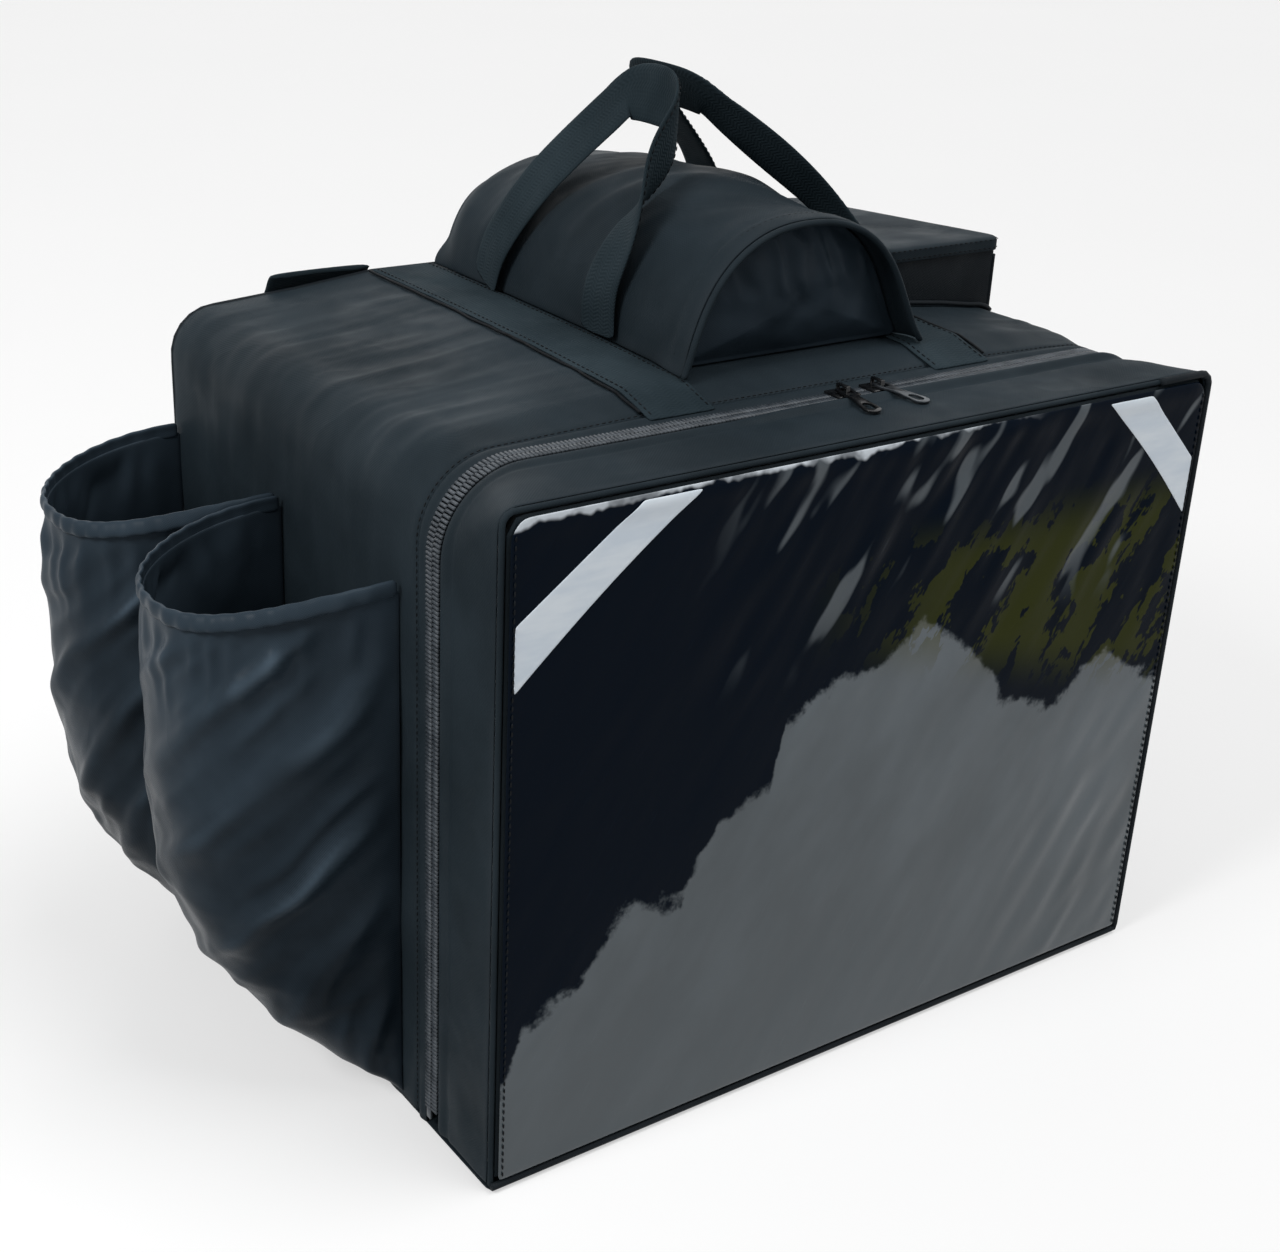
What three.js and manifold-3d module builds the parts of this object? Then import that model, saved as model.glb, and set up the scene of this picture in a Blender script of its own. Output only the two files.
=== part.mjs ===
// Food delivery backpack: a square insulated bag with a zipped front door, carried on two padded straps.
// Millimetres, +Z up. The origin is the middle of the rectangle that the bag stands on.
// +X is the bag's right side as seen from the front, and -Y is the front.
import * as THREE from 'three';
import { mergeVertices } from 'three/addons/utils/BufferGeometryUtils.js';
import Module from 'manifold-3d';

// Driving dimensions of the bag
const bagWidth = 450;
const bagDepth = 350;
const bagHeight = 360;
const touchGap = 0.3;
const shellCloth = 1.2;
const panelCloth = 1.6;
const foamThickness = 8;
const liningThickness = 0.8;
const topCrown = 10;
const topCentreX = 9;
const topSeamSpread = 112;
const boardDrop = 1;
const zipCornerRadius = 42;
const midCornerRadius = 30;
const backCornerRadius = 26;
const cornerSteps = 5;
const crownPlaceShares = [-1.42, -1, 1, 1.42];
const crownRiseShares = [0.42, 1, 1, 0.42];
const cornerBlendShares = [0, 0.7, 1, 0.5, 1];
const crownStationShares = [0, 0.8, 1, 1, 0.9];
const flatNormalShare = 0.7;
const cordSides = 6;

// The door: a shallow tray whose face is square and whose rim follows the zipper
const door = {
  depth: 57,
  faceRadius: 8,
  foot: 4,
  boardRadius: 20,
  boardMargin: 3,
  faceInset: 4,
  vinyl: 0.6,
  tape: 0.4,
  pipingRadius: 1.6,
  pipingInset: 1.9,
};

// The reflective tapes that cross the door's upper corners
const reflector = { width: 33, leftReach: 98, leftDrop: 80, rightReach: 74, rightDrop: 74, margin: 3 };

// The zipper: a coil on each of two tapes, with an open chain gap that the sliders' posts pass through
const zip = {
  chainGap: 0.8,
  coilWidth: 4,
  coilHeight: 1.8,
  coilProud: 0.6,
  tapeWidth: 15,
  tapeThickness: 0.8,
  clothReveal: 6,
  foot: 13,
  stopHeight: 6,
};

// The zip sliders and their pulls
const slider = {
  length: 14,
  width: 13,
  plate: 1.4,
  post: 1,
  postLength: 5,
  underClearance: 1.2,
  archWidth: 2.4,
  archSpan: 8.8,
  archLeg: 1.2,
  archOpening: 2.8,
  leftX: 10,
  rightX: 33,
  lowZ: 34,
};
const pull = {
  length: 33,
  thickness: 1.2,
  neckWidth: 5,
  headWidth: 8.4,
  tailWidth: 9.5,
  endStrip: 1.6,
  eyeLength: 6,
  eyeHalfWidth: 2.4,
  holeLength: 9,
  holeHalfWidth: 2.6,
  tailRim: 3,
  neckShare: 0.38,
  arcSteps: 6,
  leftYaw: -9,
  rightYaw: 11,
};

// The arched tunnel pouch on the top and its end flap
const tunnel = {
  halfWidth: 70,
  rises: [74, 79, 74, 62],
  frontY: -84,
  backInset: 3,
  cloth: 1.6,
  roundness: 2.25,
  steps: 12,
  hemProud: 1,
  hemDepth: 3,
  flapRecess: 9,
  flapThickness: 5,
  flapPuff: 5,
  flapTaper: 13,
  flapClearance: 0.9,
  backPanel: 1.4,
  backRecess: 2,
};

// The flat box pouch beside the tunnel, at the back right
const pouch = {
  leftX: 124,
  rightX: 212,
  frontY: -18,
  backInset: 3,
  frontTop: 399,
  backTop: 384,
  cloth: 1.8,
  seatGap: 0.7,
  lidThickness: 2.2,
  lidRim: 9,
  lidClearance: 0.5,
  pipingRadius: 1.5,
};

// The carrying handles: two webbing loops on strips that run over the top panel
const handle = {
  width: 31,
  thickness: 2.6,
  footThickness: 0.5,
  steps: 26,
  leftX: -64,
  rightX: 93,
  backY: 109,
  leftFrontY: -6,
  rightFrontY: -58,
  apexHeight: 114,
  leftApexBackY: 42,
  rightApexBackY: 72,
  leftApexFrontY: 8,
  rightApexFrontY: 28,
  leftApexX: -13,
  rightApexX: 17,
  leftFrontBulge: -14,
};
const strip = { width: 40, thickness: 1.6, frontSetback: 2, backSetback: 4 };

// The gathered side pockets, two on each side, with an elastic hem round each mouth
const pocket = {
  width: 130,
  frontY: -90,
  foot: 5,
  height: 284,
  depth: 102,
  cloth: 1.5,
  steps: 14,
  roundness: 2.4,
  seamGap: 1.2,
  hemHeight: 8,
  hemThickness: 3.2,
  heightShares: [0, 0.055, 0.16, 0.26, 0.42, 0.62, 0.83, 1],
  depthShares: [0.022, 0.3, 0.57, 0.77, 0.94, 1, 0.99, 0.95],
};

// The back: a pad, and two padded shoulder straps with ladder locks and lower webbing
const backPad = {
  width: 300,
  foot: 46,
  topDrop: 40,
  thickness: 13,
  radius: 30,
  edge: 5,
  taper: 7,
  cornerSteps: 3,
};
const strap = {
  width: 66,
  thickness: 12,
  topInset: 17,
  lowInset: 38,
  rootReach: 2,
  rootThickness: 4,
  rootDrop: 14,
  rootGap: 0.6,
  hangDrop: 26,
  hangGap: 1,
  footZ: 112,
  standOff: 34,
  footStandOff: 6,
  steps: 12,
  rim: 3,
};
const lock = { width: 38, height: 30, thickness: 4.5, bar: 5, rail: 5, clearance: 1.2 };
const webbing = {
  width: 25,
  thickness: 1.6,
  footZ: 26,
  anchorWidth: 46,
  anchorHeight: 34,
  anchorThickness: 3,
  rise: 6,
};

// Places that follow from the driving dimensions
const halfWidth = bagWidth / 2;
const frontY = -bagDepth / 2;
const backY = bagDepth / 2;
const zipY = frontY + door.depth;
const bodyFrontY = zipY + zip.clothReveal;
const shoulderY = bodyFrontY + bagDepth / 12;
const foamFrontY = zipY + zip.chainGap + zip.tapeWidth + touchGap;
const bodyFoot = panelCloth + touchGap;
const wrapBackY = backY - panelCloth - touchGap;
const foamInset = shellCloth + touchGap;
const liningInset = foamInset + foamThickness + touchGap;
const crownPlaces = crownPlaceShares.map((share) => topCentreX + topSeamSpread * share);
const seamLeftX = crownPlaces[1];
const seamRightX = crownPlaces[2];
const kneeX = crownPlaces[3];
const padHeight = bagHeight - backPad.foot - backPad.topDrop;
const strapTopX = backPad.width / 2 - strap.topInset;
const strapLowX = backPad.width / 2 - strap.lowInset;
const hangZ = bagHeight - strap.hangDrop;

const finishes = {
  nylon: { color: 0x282e32, roughness: 0.62, metalness: 0 },
  satin: { color: 0x20272b, roughness: 0.42, metalness: 0 },
  webbing: { color: 0x24282b, roughness: 0.8, metalness: 0 },
  foam: { color: 0x4a4d50, roughness: 0.9, metalness: 0 },
  lining: { color: 0xb8bcc0, roughness: 0.35, metalness: 0.6 },
  vinyl: { color: 0x11151a, roughness: 0.08, metalness: 0 },
  reflector: { color: 0x9ba7b0, roughness: 0.4, metalness: 0.2 },
  coil: { color: 0x1d2023, roughness: 0.5, metalness: 0 },
  metal: { color: 0x4b4f52, roughness: 0.35, metalness: 0.9 },
  plastic: { color: 0x15171a, roughness: 0.45, metalness: 0 },
  mesh: { color: 0x1c1f22, roughness: 0.85, metalness: 0 },
};

const bag = new THREE.Group();

// Adds one named piece to the bag
function addPiece(name, geometry, finish) {
  const mesh = new THREE.Mesh(geometry, new THREE.MeshStandardMaterial(finishes[finish]));
  mesh.name = name;
  bag.add(mesh);
  return mesh;
}

function point(x, y, z) {
  return new THREE.Vector3(x, y, z);
}

function mix(a, b, share) {
  return a + (b - a) * share;
}

// Volume of a closed set of triangles, negative when its faces point in
function signedVolume(points, triangles) {
  let total = 0;
  for (const [a, b, c] of triangles) {
    total += points[a].dot(points[b].clone().cross(points[c])) / 6;
  }
  return total;
}

// A closed body from points and triangles, with its faces turned outwards
function closedBody(points, triangles) {
  const flip = signedVolume(points, triangles) < 0;
  const geometry = new THREE.BufferGeometry();
  const positions = points.flatMap((p) => [p.x, p.y, p.z]);
  geometry.setAttribute('position', new THREE.Float32BufferAttribute(positions, 3));
  geometry.setIndex(triangles.flatMap(([a, b, c]) => (flip ? [a, c, b] : [a, b, c])));
  geometry.computeVertexNormals();
  return geometry;
}

// Triangles that close a ring of points, which may be bent but not crossed
function capRing(ring, first) {
  const normal = point(0, 0, 0);
  ring.forEach((p, i) => normal.add(p.clone().cross(ring[(i + 1) % ring.length])));
  normal.normalize();
  const across = Math.abs(normal.z) > flatNormalShare ? point(1, 0, 0) : point(0, 0, 1);
  const side = across.clone().cross(normal).normalize();
  const up = normal.clone().cross(side);
  const flat = ring.map((p) => new THREE.Vector2(p.dot(side), p.dot(up)));
  return THREE.ShapeUtils.triangulateShape(flat, []).map((face) => face.map((i) => i + first));
}

// A body through rings of equally many points, capped at its two ends.
// Each quad is cut along its shorter diagonal, so that neighbouring skins are cut alike.
function loft(rings) {
  const count = rings[0].length;
  const points = rings.flat();
  const triangles = [];
  for (let k = 0; k + 1 < rings.length; k += 1) {
    for (let i = 0; i < count; i += 1) {
      const a = k * count + i;
      const b = k * count + ((i + 1) % count);
      const forward = points[a].distanceTo(points[b + count]) <= points[b].distanceTo(points[a + count]);
      if (forward) {
        triangles.push([a, b, b + count], [a, b + count, a + count]);
      } else {
        triangles.push([a, b, a + count], [b, b + count, a + count]);
      }
    }
  }
  const last = (rings.length - 1) * count;
  const startCap = capRing(rings[0], 0).map(([a, b, c]) => [a, c, b]);
  const endCap = capRing(rings[rings.length - 1], last);
  return closedBody(points, [...triangles, ...startCap, ...endCap]);
}

// Turns a three.js geometry into a solid that can be cut and joined
const wasm = await Module();
wasm.setup();

function toSolid(geometry) {
  const plain = geometry.clone();
  plain.deleteAttribute('normal');
  plain.deleteAttribute('uv');
  const merged = mergeVertices(plain);
  const vertProperties = new Float32Array(merged.attributes.position.array);
  const triVerts = new Uint32Array(merged.index.array);
  return new wasm.Manifold(new wasm.Mesh({ numProp: 3, vertProperties, triVerts }));
}

function fromSolid(solid) {
  const mesh = solid.getMesh();
  const geometry = new THREE.BufferGeometry();
  geometry.setAttribute('position', new THREE.Float32BufferAttribute(mesh.vertProperties, 3));
  geometry.setIndex(Array.from(mesh.triVerts));
  geometry.computeVertexNormals();
  return geometry;
}

// A box between two corners
function boxBetween(low, high) {
  const geometry = new THREE.BoxGeometry(high[0] - low[0], high[1] - low[1], high[2] - low[2]);
  geometry.translate((low[0] + high[0]) / 2, (low[1] + high[1]) / 2, (low[2] + high[2]) / 2);
  return geometry;
}

// The bag's outline in X and Z from its lower left end, over the top, to its lower right end
function bodyOutline({ inset, radius, crown, foot, drop = 0 }) {
  const half = halfWidth - inset;
  const top = bagHeight - inset - drop;
  const bend = radius - inset;
  const left = [[-half, foot]];
  for (let i = 0; i <= cornerSteps; i += 1) {
    const angle = Math.PI * (1 - i / (2 * cornerSteps));
    left.push([-half + bend + bend * Math.cos(angle), top - bend + bend * Math.sin(angle)]);
  }
  const right = left.map(([x, z]) => [-x, z]).reverse();
  const middle = crownPlaces.map((x, i) => [x, top + crown * crownRiseShares[i]]);
  return [...left, ...middle, ...right];
}

// How the outline changes from the zipper to the back
const bodyStations = [
  { y: bodyFrontY, from: zipCornerRadius, to: midCornerRadius },
  { y: shoulderY, from: zipCornerRadius, to: midCornerRadius },
  { y: 0, from: zipCornerRadius, to: midCornerRadius },
  { y: backY / 2, from: midCornerRadius, to: backCornerRadius },
  { y: backY, from: midCornerRadius, to: backCornerRadius },
].map(({ y, from, to }, i) => ({
  y,
  radius: mix(from, to, cornerBlendShares[i]),
  crown: topCrown * crownStationShares[i],
}));

// The outline's radius and crown at any place between the stations
function stationAt(y) {
  const last = bodyStations.length - 1;
  const next = Math.min(last, Math.max(1, bodyStations.findIndex((s) => s.y >= y)));
  const a = bodyStations[next - 1];
  const b = bodyStations[next];
  const share = Math.min(1, Math.max(0, (y - a.y) / (b.y - a.y)));
  return { y, radius: mix(a.radius, b.radius, share), crown: mix(a.crown, b.crown, share) };
}

// Stations between two places, with the bag's own stations in between
function stationsBetween(from, to) {
  const inner = bodyStations.filter((s) => s.y > from && s.y < to);
  return [stationAt(from), ...inner, stationAt(to)];
}

// Height of the outer cloth of the top panel
function topZ(x, y) {
  const { radius, crown } = stationAt(y);
  const reach = halfWidth - radius;
  const past = Math.abs(x) - reach;
  if (past > 0) {
    return bagHeight - radius + Math.sqrt(radius ** 2 - past ** 2);
  }
  const places = [-reach, ...crownPlaces, reach];
  const rises = [0, ...crownRiseShares, 0];
  const held = Math.min(reach, Math.max(-reach, x));
  const next = Math.max(1, places.findIndex((place) => place >= held));
  const share = (held - places[next - 1]) / (places[next] - places[next - 1]);
  return bagHeight + crown * mix(rises[next - 1], rises[next], share);
}

// A wall that follows two outlines, with the ring running out along one and back along the other
function wallRing(outer, inner, y) {
  return [...outer, ...inner.slice().reverse()].map(([x, z]) => point(x, y, z));
}

// Outer shell: the cloth over the left side, the top and the right side
function addShell() {
  const rings = stationsBetween(bodyFrontY, wrapBackY).map(({ y, radius, crown }) =>
    wallRing(
      bodyOutline({ inset: 0, radius, crown, foot: bodyFoot }),
      bodyOutline({ inset: shellCloth, radius, crown, foot: bodyFoot }),
      y,
    ));
  addPiece('body_wrap', loft(rings), 'nylon');
  addPiece('bottom_panel', boxBetween([-halfWidth, frontY, 0], [halfWidth, backY, panelCloth]), 'nylon');
  const { radius, crown } = stationAt(backY);
  const back = bodyOutline({ inset: 0, radius, crown, foot: bodyFoot });
  const backRings = [backY - panelCloth, backY].map((y) => back.map(([x, z]) => point(x, y, z)));
  addPiece('back_panel', loft(backRings), 'nylon');
}

// Insulation: a foam board behind each cloth panel, and the foil lining that faces the food
function addInsulation() {
  const backFoamFrontY = wrapBackY - foamThickness;
  const boardBackY = backFoamFrontY - touchGap;
  const floorTop = bodyFoot + foamThickness;
  const wallOuterX = halfWidth - foamInset;
  const wallInnerX = wallOuterX - foamThickness;
  const wallTop = bagHeight - zipCornerRadius;
  const bottomBoard = boxBetween([-wallOuterX, foamFrontY, bodyFoot], [wallOuterX, wrapBackY, floorTop]);
  addPiece('foam_bottom', bottomBoard, 'foam');
  const wallFoot = floorTop + touchGap;
  const leftBoard = boxBetween([-wallOuterX, foamFrontY, wallFoot], [-wallInnerX, boardBackY, wallTop]);
  const rightBoard = boxBetween([wallInnerX, foamFrontY, wallFoot], [wallOuterX, boardBackY, wallTop]);
  addPiece('foam_left', leftBoard, 'foam');
  addPiece('foam_right', rightBoard, 'foam');
  const topRings = stationsBetween(foamFrontY, boardBackY).map(({ y, radius }) => {
    const across = [radius - halfWidth, ...crownPlaces, halfWidth - radius];
    const upper = across.map((x) => [x, topZ(x, y) - foamInset - boardDrop]);
    const lower = upper.map(([x, z]) => [x, z - foamThickness]);
    return wallRing(upper, lower, y);
  });
  addPiece('foam_top', loft(topRings), 'foam');
  const backOutline = bodyOutline({ ...stationAt(wrapBackY), inset: foamInset, foot: wallFoot });
  const backRings = [backFoamFrontY, wrapBackY].map((y) => backOutline.map(([x, z]) => point(x, y, z)));
  addPiece('foam_back', loft(backRings), 'foam');
  const liningFoot = floorTop + touchGap;
  const stations = stationsBetween(foamFrontY, boardBackY);
  const drop = boardDrop * 2;
  const sleeve = (inset, foot, list) => list.map(({ y, radius, crown }) =>
    bodyOutline({ inset, radius, crown, foot, drop }).map(([x, z]) => point(x, y, z)));
  const innerStations = stationsBetween(foamFrontY, boardBackY - liningThickness);
  const inner = sleeve(liningInset + liningThickness, liningFoot + liningThickness, innerStations);
  const outer = sleeve(liningInset, liningFoot, stations);
  addPiece('lining', loft([...inner.reverse(), ...outer]), 'lining');
}

// The layers of the door, from the clear vinyl at the front to the foil lining at the back
const vinylBackY = frontY + door.vinyl;
const tapeFrontY = vinylBackY + touchGap;
const faceFrontY = tapeFrontY + door.tape + touchGap;
const faceBackY = faceFrontY + shellCloth;
const doorFoamFrontY = faceBackY + touchGap;
const doorFoamBackY = doorFoamFrontY + foamThickness;
const pipingY = frontY + door.pipingRadius;
const gussetFrontY = pipingY + door.pipingRadius + touchGap;
const gussetBackY = zipY - zip.clothReveal;

// A flat sheet of the door's outline, between two places in Y
function doorSheet(inset, radius, from, to) {
  const outline = bodyOutline({ inset, radius, crown: 0, foot: door.foot + inset });
  return loft([from, to].map((y) => outline.map(([x, z]) => point(x, y, z))));
}

// A strip of reflective tape across one upper corner, cut off along the face's two edges
function cornerTape(side, reach, drop) {
  const edge = halfWidth - door.faceInset - reflector.margin;
  const top = bagHeight - door.faceInset - reflector.margin;
  const corners = [
    [edge, top - drop],
    [edge, top - drop + reflector.width],
    [edge - reach + reflector.width, top],
    [edge - reach, top],
  ];
  const layer = (y) => corners.map(([x, z]) => point(side * x, y, z));
  return loft([layer(tapeFrontY), layer(tapeFrontY + door.tape)]);
}

// The piping cord round the door's face, up one side, over the top and down the other
function facePiping() {
  const path = bodyOutline({ inset: door.pipingInset, radius: door.faceRadius, crown: 0, foot: door.foot });
  const rings = path.map(([x, z], i) => {
    const [ax, az] = path[Math.max(0, i - 1)];
    const [bx, bz] = path[Math.min(path.length - 1, i + 1)];
    const run = new THREE.Vector2(bx - ax, bz - az).normalize();
    return Array.from({ length: cordSides }, (_, k) => {
      const angle = (2 * Math.PI * k) / cordSides;
      const out = door.pipingRadius * Math.cos(angle);
      return point(x - run.y * out, pipingY + door.pipingRadius * Math.sin(angle), z + run.x * out);
    });
  });
  return loft(rings);
}

function addDoor() {
  const gussetStations = [
    { y: gussetFrontY, radius: door.faceRadius },
    { y: gussetBackY, radius: zipCornerRadius },
  ];
  const gussetRings = gussetStations.map(({ y, radius }) =>
    wallRing(
      bodyOutline({ inset: 0, radius, crown: 0, foot: door.foot }),
      bodyOutline({ inset: shellCloth, radius, crown: 0, foot: door.foot }),
      y,
    ));
  addPiece('door_gusset', loft(gussetRings), 'nylon');
  addPiece('door_face', doorSheet(door.faceInset, door.faceRadius, faceFrontY, faceBackY), 'nylon');
  const boardInset = foamInset + door.boardMargin;
  addPiece('door_foam', doorSheet(boardInset, door.boardRadius, doorFoamFrontY, doorFoamBackY), 'foam');
  const liningFrontY = doorFoamBackY + touchGap;
  const liningSheet = doorSheet(boardInset, door.boardRadius, liningFrontY, liningFrontY + liningThickness);
  addPiece('door_lining', liningSheet, 'lining');
  addPiece('window', doorSheet(door.faceInset, door.faceRadius, frontY, vinylBackY), 'vinyl');
  addPiece('face_piping', facePiping(), 'nylon');
  addPiece('reflector_left', cornerTape(-1, reflector.leftReach, reflector.leftDrop), 'reflector');
  addPiece('reflector_right', cornerTape(1, reflector.rightReach, reflector.rightDrop), 'reflector');
}

// A band that follows the zipper's run round the bag, between two insets and two places in Y
function zipBand(outerInset, innerInset, fromY, toY) {
  const outer = bodyOutline({ inset: outerInset, radius: zipCornerRadius, crown: 0, foot: zip.foot });
  const inner = bodyOutline({ inset: innerInset, radius: zipCornerRadius, crown: 0, foot: zip.foot });
  const rings = outer.map(([x, z], i) => [
    point(x, fromY, z),
    point(x, toY, z),
    point(inner[i][0], toY, inner[i][1]),
    point(inner[i][0], fromY, inner[i][1]),
  ]);
  return loft(rings);
}

function addZipper() {
  const coilInnerInset = zip.coilHeight - zip.coilProud;
  const tapeInset = coilInnerInset + touchGap;
  const sides = [
    { name: 'body', turn: 1 },
    { name: 'door', turn: -1 },
  ];
  for (const { name, turn } of sides) {
    const edge = zipY + turn * zip.chainGap;
    const tape = zipBand(tapeInset, tapeInset + zip.tapeThickness, edge, edge + turn * zip.tapeWidth);
    addPiece(`zip_tape_${name}`, tape, 'webbing');
    const coil = zipBand(-zip.coilProud, coilInnerInset, edge, edge + turn * zip.coilWidth);
    addPiece(`zip_coil_${name}`, coil, 'coil');
  }
  const stopReach = zip.chainGap + zip.coilWidth;
  const stopTop = zip.foot - touchGap;
  for (const [name, turn] of [['left', -1], ['right', 1]]) {
    const faces = [turn * (halfWidth + zip.coilProud), turn * (halfWidth - coilInnerInset)];
    const low = [Math.min(...faces), zipY + zip.chainGap, stopTop - zip.stopHeight];
    const high = [Math.max(...faces), zipY + stopReach, stopTop];
    addPiece(`zip_stop_${name}`, boxBetween(low, high), 'metal');
  }
}

// A slider's solid: two plates joined by a post, and an arch over the top plate.
// Its chain lies at z 0 along X, and the arch stands across it or, when along is true, in line with it.
function sliderBody(along) {
  const plateLow = zip.coilProud + touchGap;
  const plateHigh = plateLow + slider.plate;
  const tapeLow = zip.coilHeight - zip.coilProud + touchGap + zip.tapeThickness;
  const underHigh = -tapeLow - slider.underClearance;
  const underLow = underHigh - slider.plate;
  const halfLength = slider.length / 2;
  const halfAcross = slider.width / 2;
  const halfPost = slider.post / 2;
  const upper = boxBetween([-halfLength, -halfAcross, plateLow], [halfLength, halfAcross, plateHigh]);
  const lower = boxBetween([-halfLength, -halfAcross, underLow], [halfLength, halfAcross, underHigh]);
  const sink = slider.plate / 2;
  const post = boxBetween(
    [halfLength - slider.postLength, -halfPost, underHigh - sink],
    [halfLength, halfPost, plateLow + sink],
  );
  const halfSpan = slider.archSpan / 2;
  const archTop = slider.archOpening + slider.archLeg;
  const shape = new THREE.Shape([
    new THREE.Vector2(-halfSpan, -sink),
    new THREE.Vector2(-halfSpan, archTop),
    new THREE.Vector2(halfSpan, archTop),
    new THREE.Vector2(halfSpan, -sink),
    new THREE.Vector2(halfSpan - slider.archLeg, -sink),
    new THREE.Vector2(halfSpan - slider.archLeg, slider.archOpening),
    new THREE.Vector2(slider.archLeg - halfSpan, slider.archOpening),
    new THREE.Vector2(slider.archLeg - halfSpan, -sink),
  ]);
  const arch = new THREE.ExtrudeGeometry(shape, { depth: slider.archWidth, bevelEnabled: false });
  arch.translate(0, 0, -slider.archWidth / 2);
  arch.rotateX(Math.PI / 2);
  if (!along) {
    arch.rotateZ(Math.PI / 2);
  }
  arch.translate(0, 0, plateHigh);
  const solid = [lower, post, arch].reduce((sum, piece) => sum.add(toSolid(piece)), toSolid(upper));
  return fromSolid(solid);
}

// Points of an arc in a plane, from one angle to another
function arcPoints(x, y, radius, from, to) {
  return Array.from({ length: pull.arcSteps + 1 }, (_, i) => {
    const angle = mix(from, to, i / pull.arcSteps);
    return new THREE.Vector2(x + radius * Math.cos(angle), y + radius * Math.sin(angle));
  });
}

// A pull tab that lies along -Y from its end strip, which sits at the origin
function pullTab() {
  const half = pull.headWidth / 2;
  const tail = pull.tailWidth / 2;
  const neck = pull.neckWidth / 2;
  const head = pull.endStrip / 2;
  const end = head - pull.length;
  const eyeEnd = -head - pull.eyeLength;
  const shoulder = eyeEnd + head;
  const neckY = -pull.length * pull.neckShare;
  const shape = new THREE.Shape([
    new THREE.Vector2(-half, head),
    new THREE.Vector2(-half, shoulder),
    new THREE.Vector2(-neck, neckY),
    ...arcPoints(0, end + tail, tail, Math.PI, 2 * Math.PI),
    new THREE.Vector2(neck, neckY),
    new THREE.Vector2(half, shoulder),
    new THREE.Vector2(half, head),
  ]);
  const eye = new THREE.Path([
    new THREE.Vector2(-pull.eyeHalfWidth, eyeEnd),
    new THREE.Vector2(pull.eyeHalfWidth, eyeEnd),
    new THREE.Vector2(pull.eyeHalfWidth, -head),
    new THREE.Vector2(-pull.eyeHalfWidth, -head),
  ]);
  const holeLow = end + pull.tailRim + pull.holeHalfWidth;
  const holeHigh = holeLow + pull.holeLength - 2 * pull.holeHalfWidth;
  const hole = new THREE.Path([
    ...arcPoints(0, holeLow, pull.holeHalfWidth, Math.PI, 2 * Math.PI),
    ...arcPoints(0, holeHigh, pull.holeHalfWidth, 0, Math.PI),
  ]);
  shape.holes.push(eye, hole);
  const geometry = new THREE.ExtrudeGeometry(shape, { depth: pull.thickness, bevelEnabled: false });
  geometry.translate(0, 0, -pull.thickness / 2);
  return geometry;
}

function addSliders() {
  const plateHigh = zip.coilProud + touchGap + slider.plate;
  const axisHeight = plateHigh + slider.archOpening / 2;
  const fall = axisHeight - pull.thickness / 2 - zip.coilProud - touchGap;
  const restTilt = Math.asin(fall / pull.length);
  const placed = (geometry, turns, place) => {
    const copy = geometry.clone();
    turns.forEach(([axis, angle]) => copy[`rotate${axis}`](angle));
    copy.translate(place.x, place.y, place.z);
    return copy;
  };
  const tops = [
    { name: 'left', x: slider.leftX, yaw: pull.leftYaw },
    { name: 'right', x: slider.rightX, yaw: pull.rightYaw },
  ];
  const across = sliderBody(false);
  for (const { name, x, yaw } of tops) {
    const turnAround = name === 'left' ? [['Z', Math.PI]] : [];
    addPiece(`slider_${name}`, placed(across, turnAround, point(x, zipY, bagHeight)), 'metal');
    const turns = [['X', restTilt], ['Z', THREE.MathUtils.degToRad(yaw)]];
    addPiece(`pull_${name}`, placed(pullTab(), turns, point(x, zipY, bagHeight + axisHeight)), 'metal');
  }
  const lowPlace = point(halfWidth, zipY, slider.lowZ);
  const stand = [['Y', Math.PI / 2]];
  addPiece('slider_low', placed(sliderBody(true), stand, lowPlace), 'metal');
  const hang = [['Z', Math.PI / 2], ['Y', Math.PI / 2]];
  const hangPlace = point(halfWidth + axisHeight, zipY, slider.lowZ);
  addPiece('pull_low', placed(pullTab(), hang, hangPlace), 'metal');
}

// The tunnel's arch in X and Z, from its left foot over to its right foot
function archOutline(inset, y) {
  const places = [tunnel.frontY, 0, backY / 2, backY];
  const next = Math.max(1, places.findIndex((place) => place >= y));
  const share = (y - places[next - 1]) / (places[next] - places[next - 1]);
  const rise = mix(tunnel.rises[next - 1], tunnel.rises[next], Math.max(0, share)) - inset;
  const half = tunnel.halfWidth - inset;
  return Array.from({ length: tunnel.steps + 1 }, (_, i) => {
    const angle = Math.PI * (1 - i / tunnel.steps);
    const across = Math.sign(Math.cos(angle)) * Math.abs(Math.cos(angle)) ** (2 / tunnel.roundness);
    const up = i === 0 || i === tunnel.steps ? 0 : Math.sin(angle) ** (2 / tunnel.roundness);
    const x = topCentreX + half * across;
    return [x, topZ(x, y) * (1 - up) + (topZ(topCentreX, y) + rise) * up + touchGap];
  });
}

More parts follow.
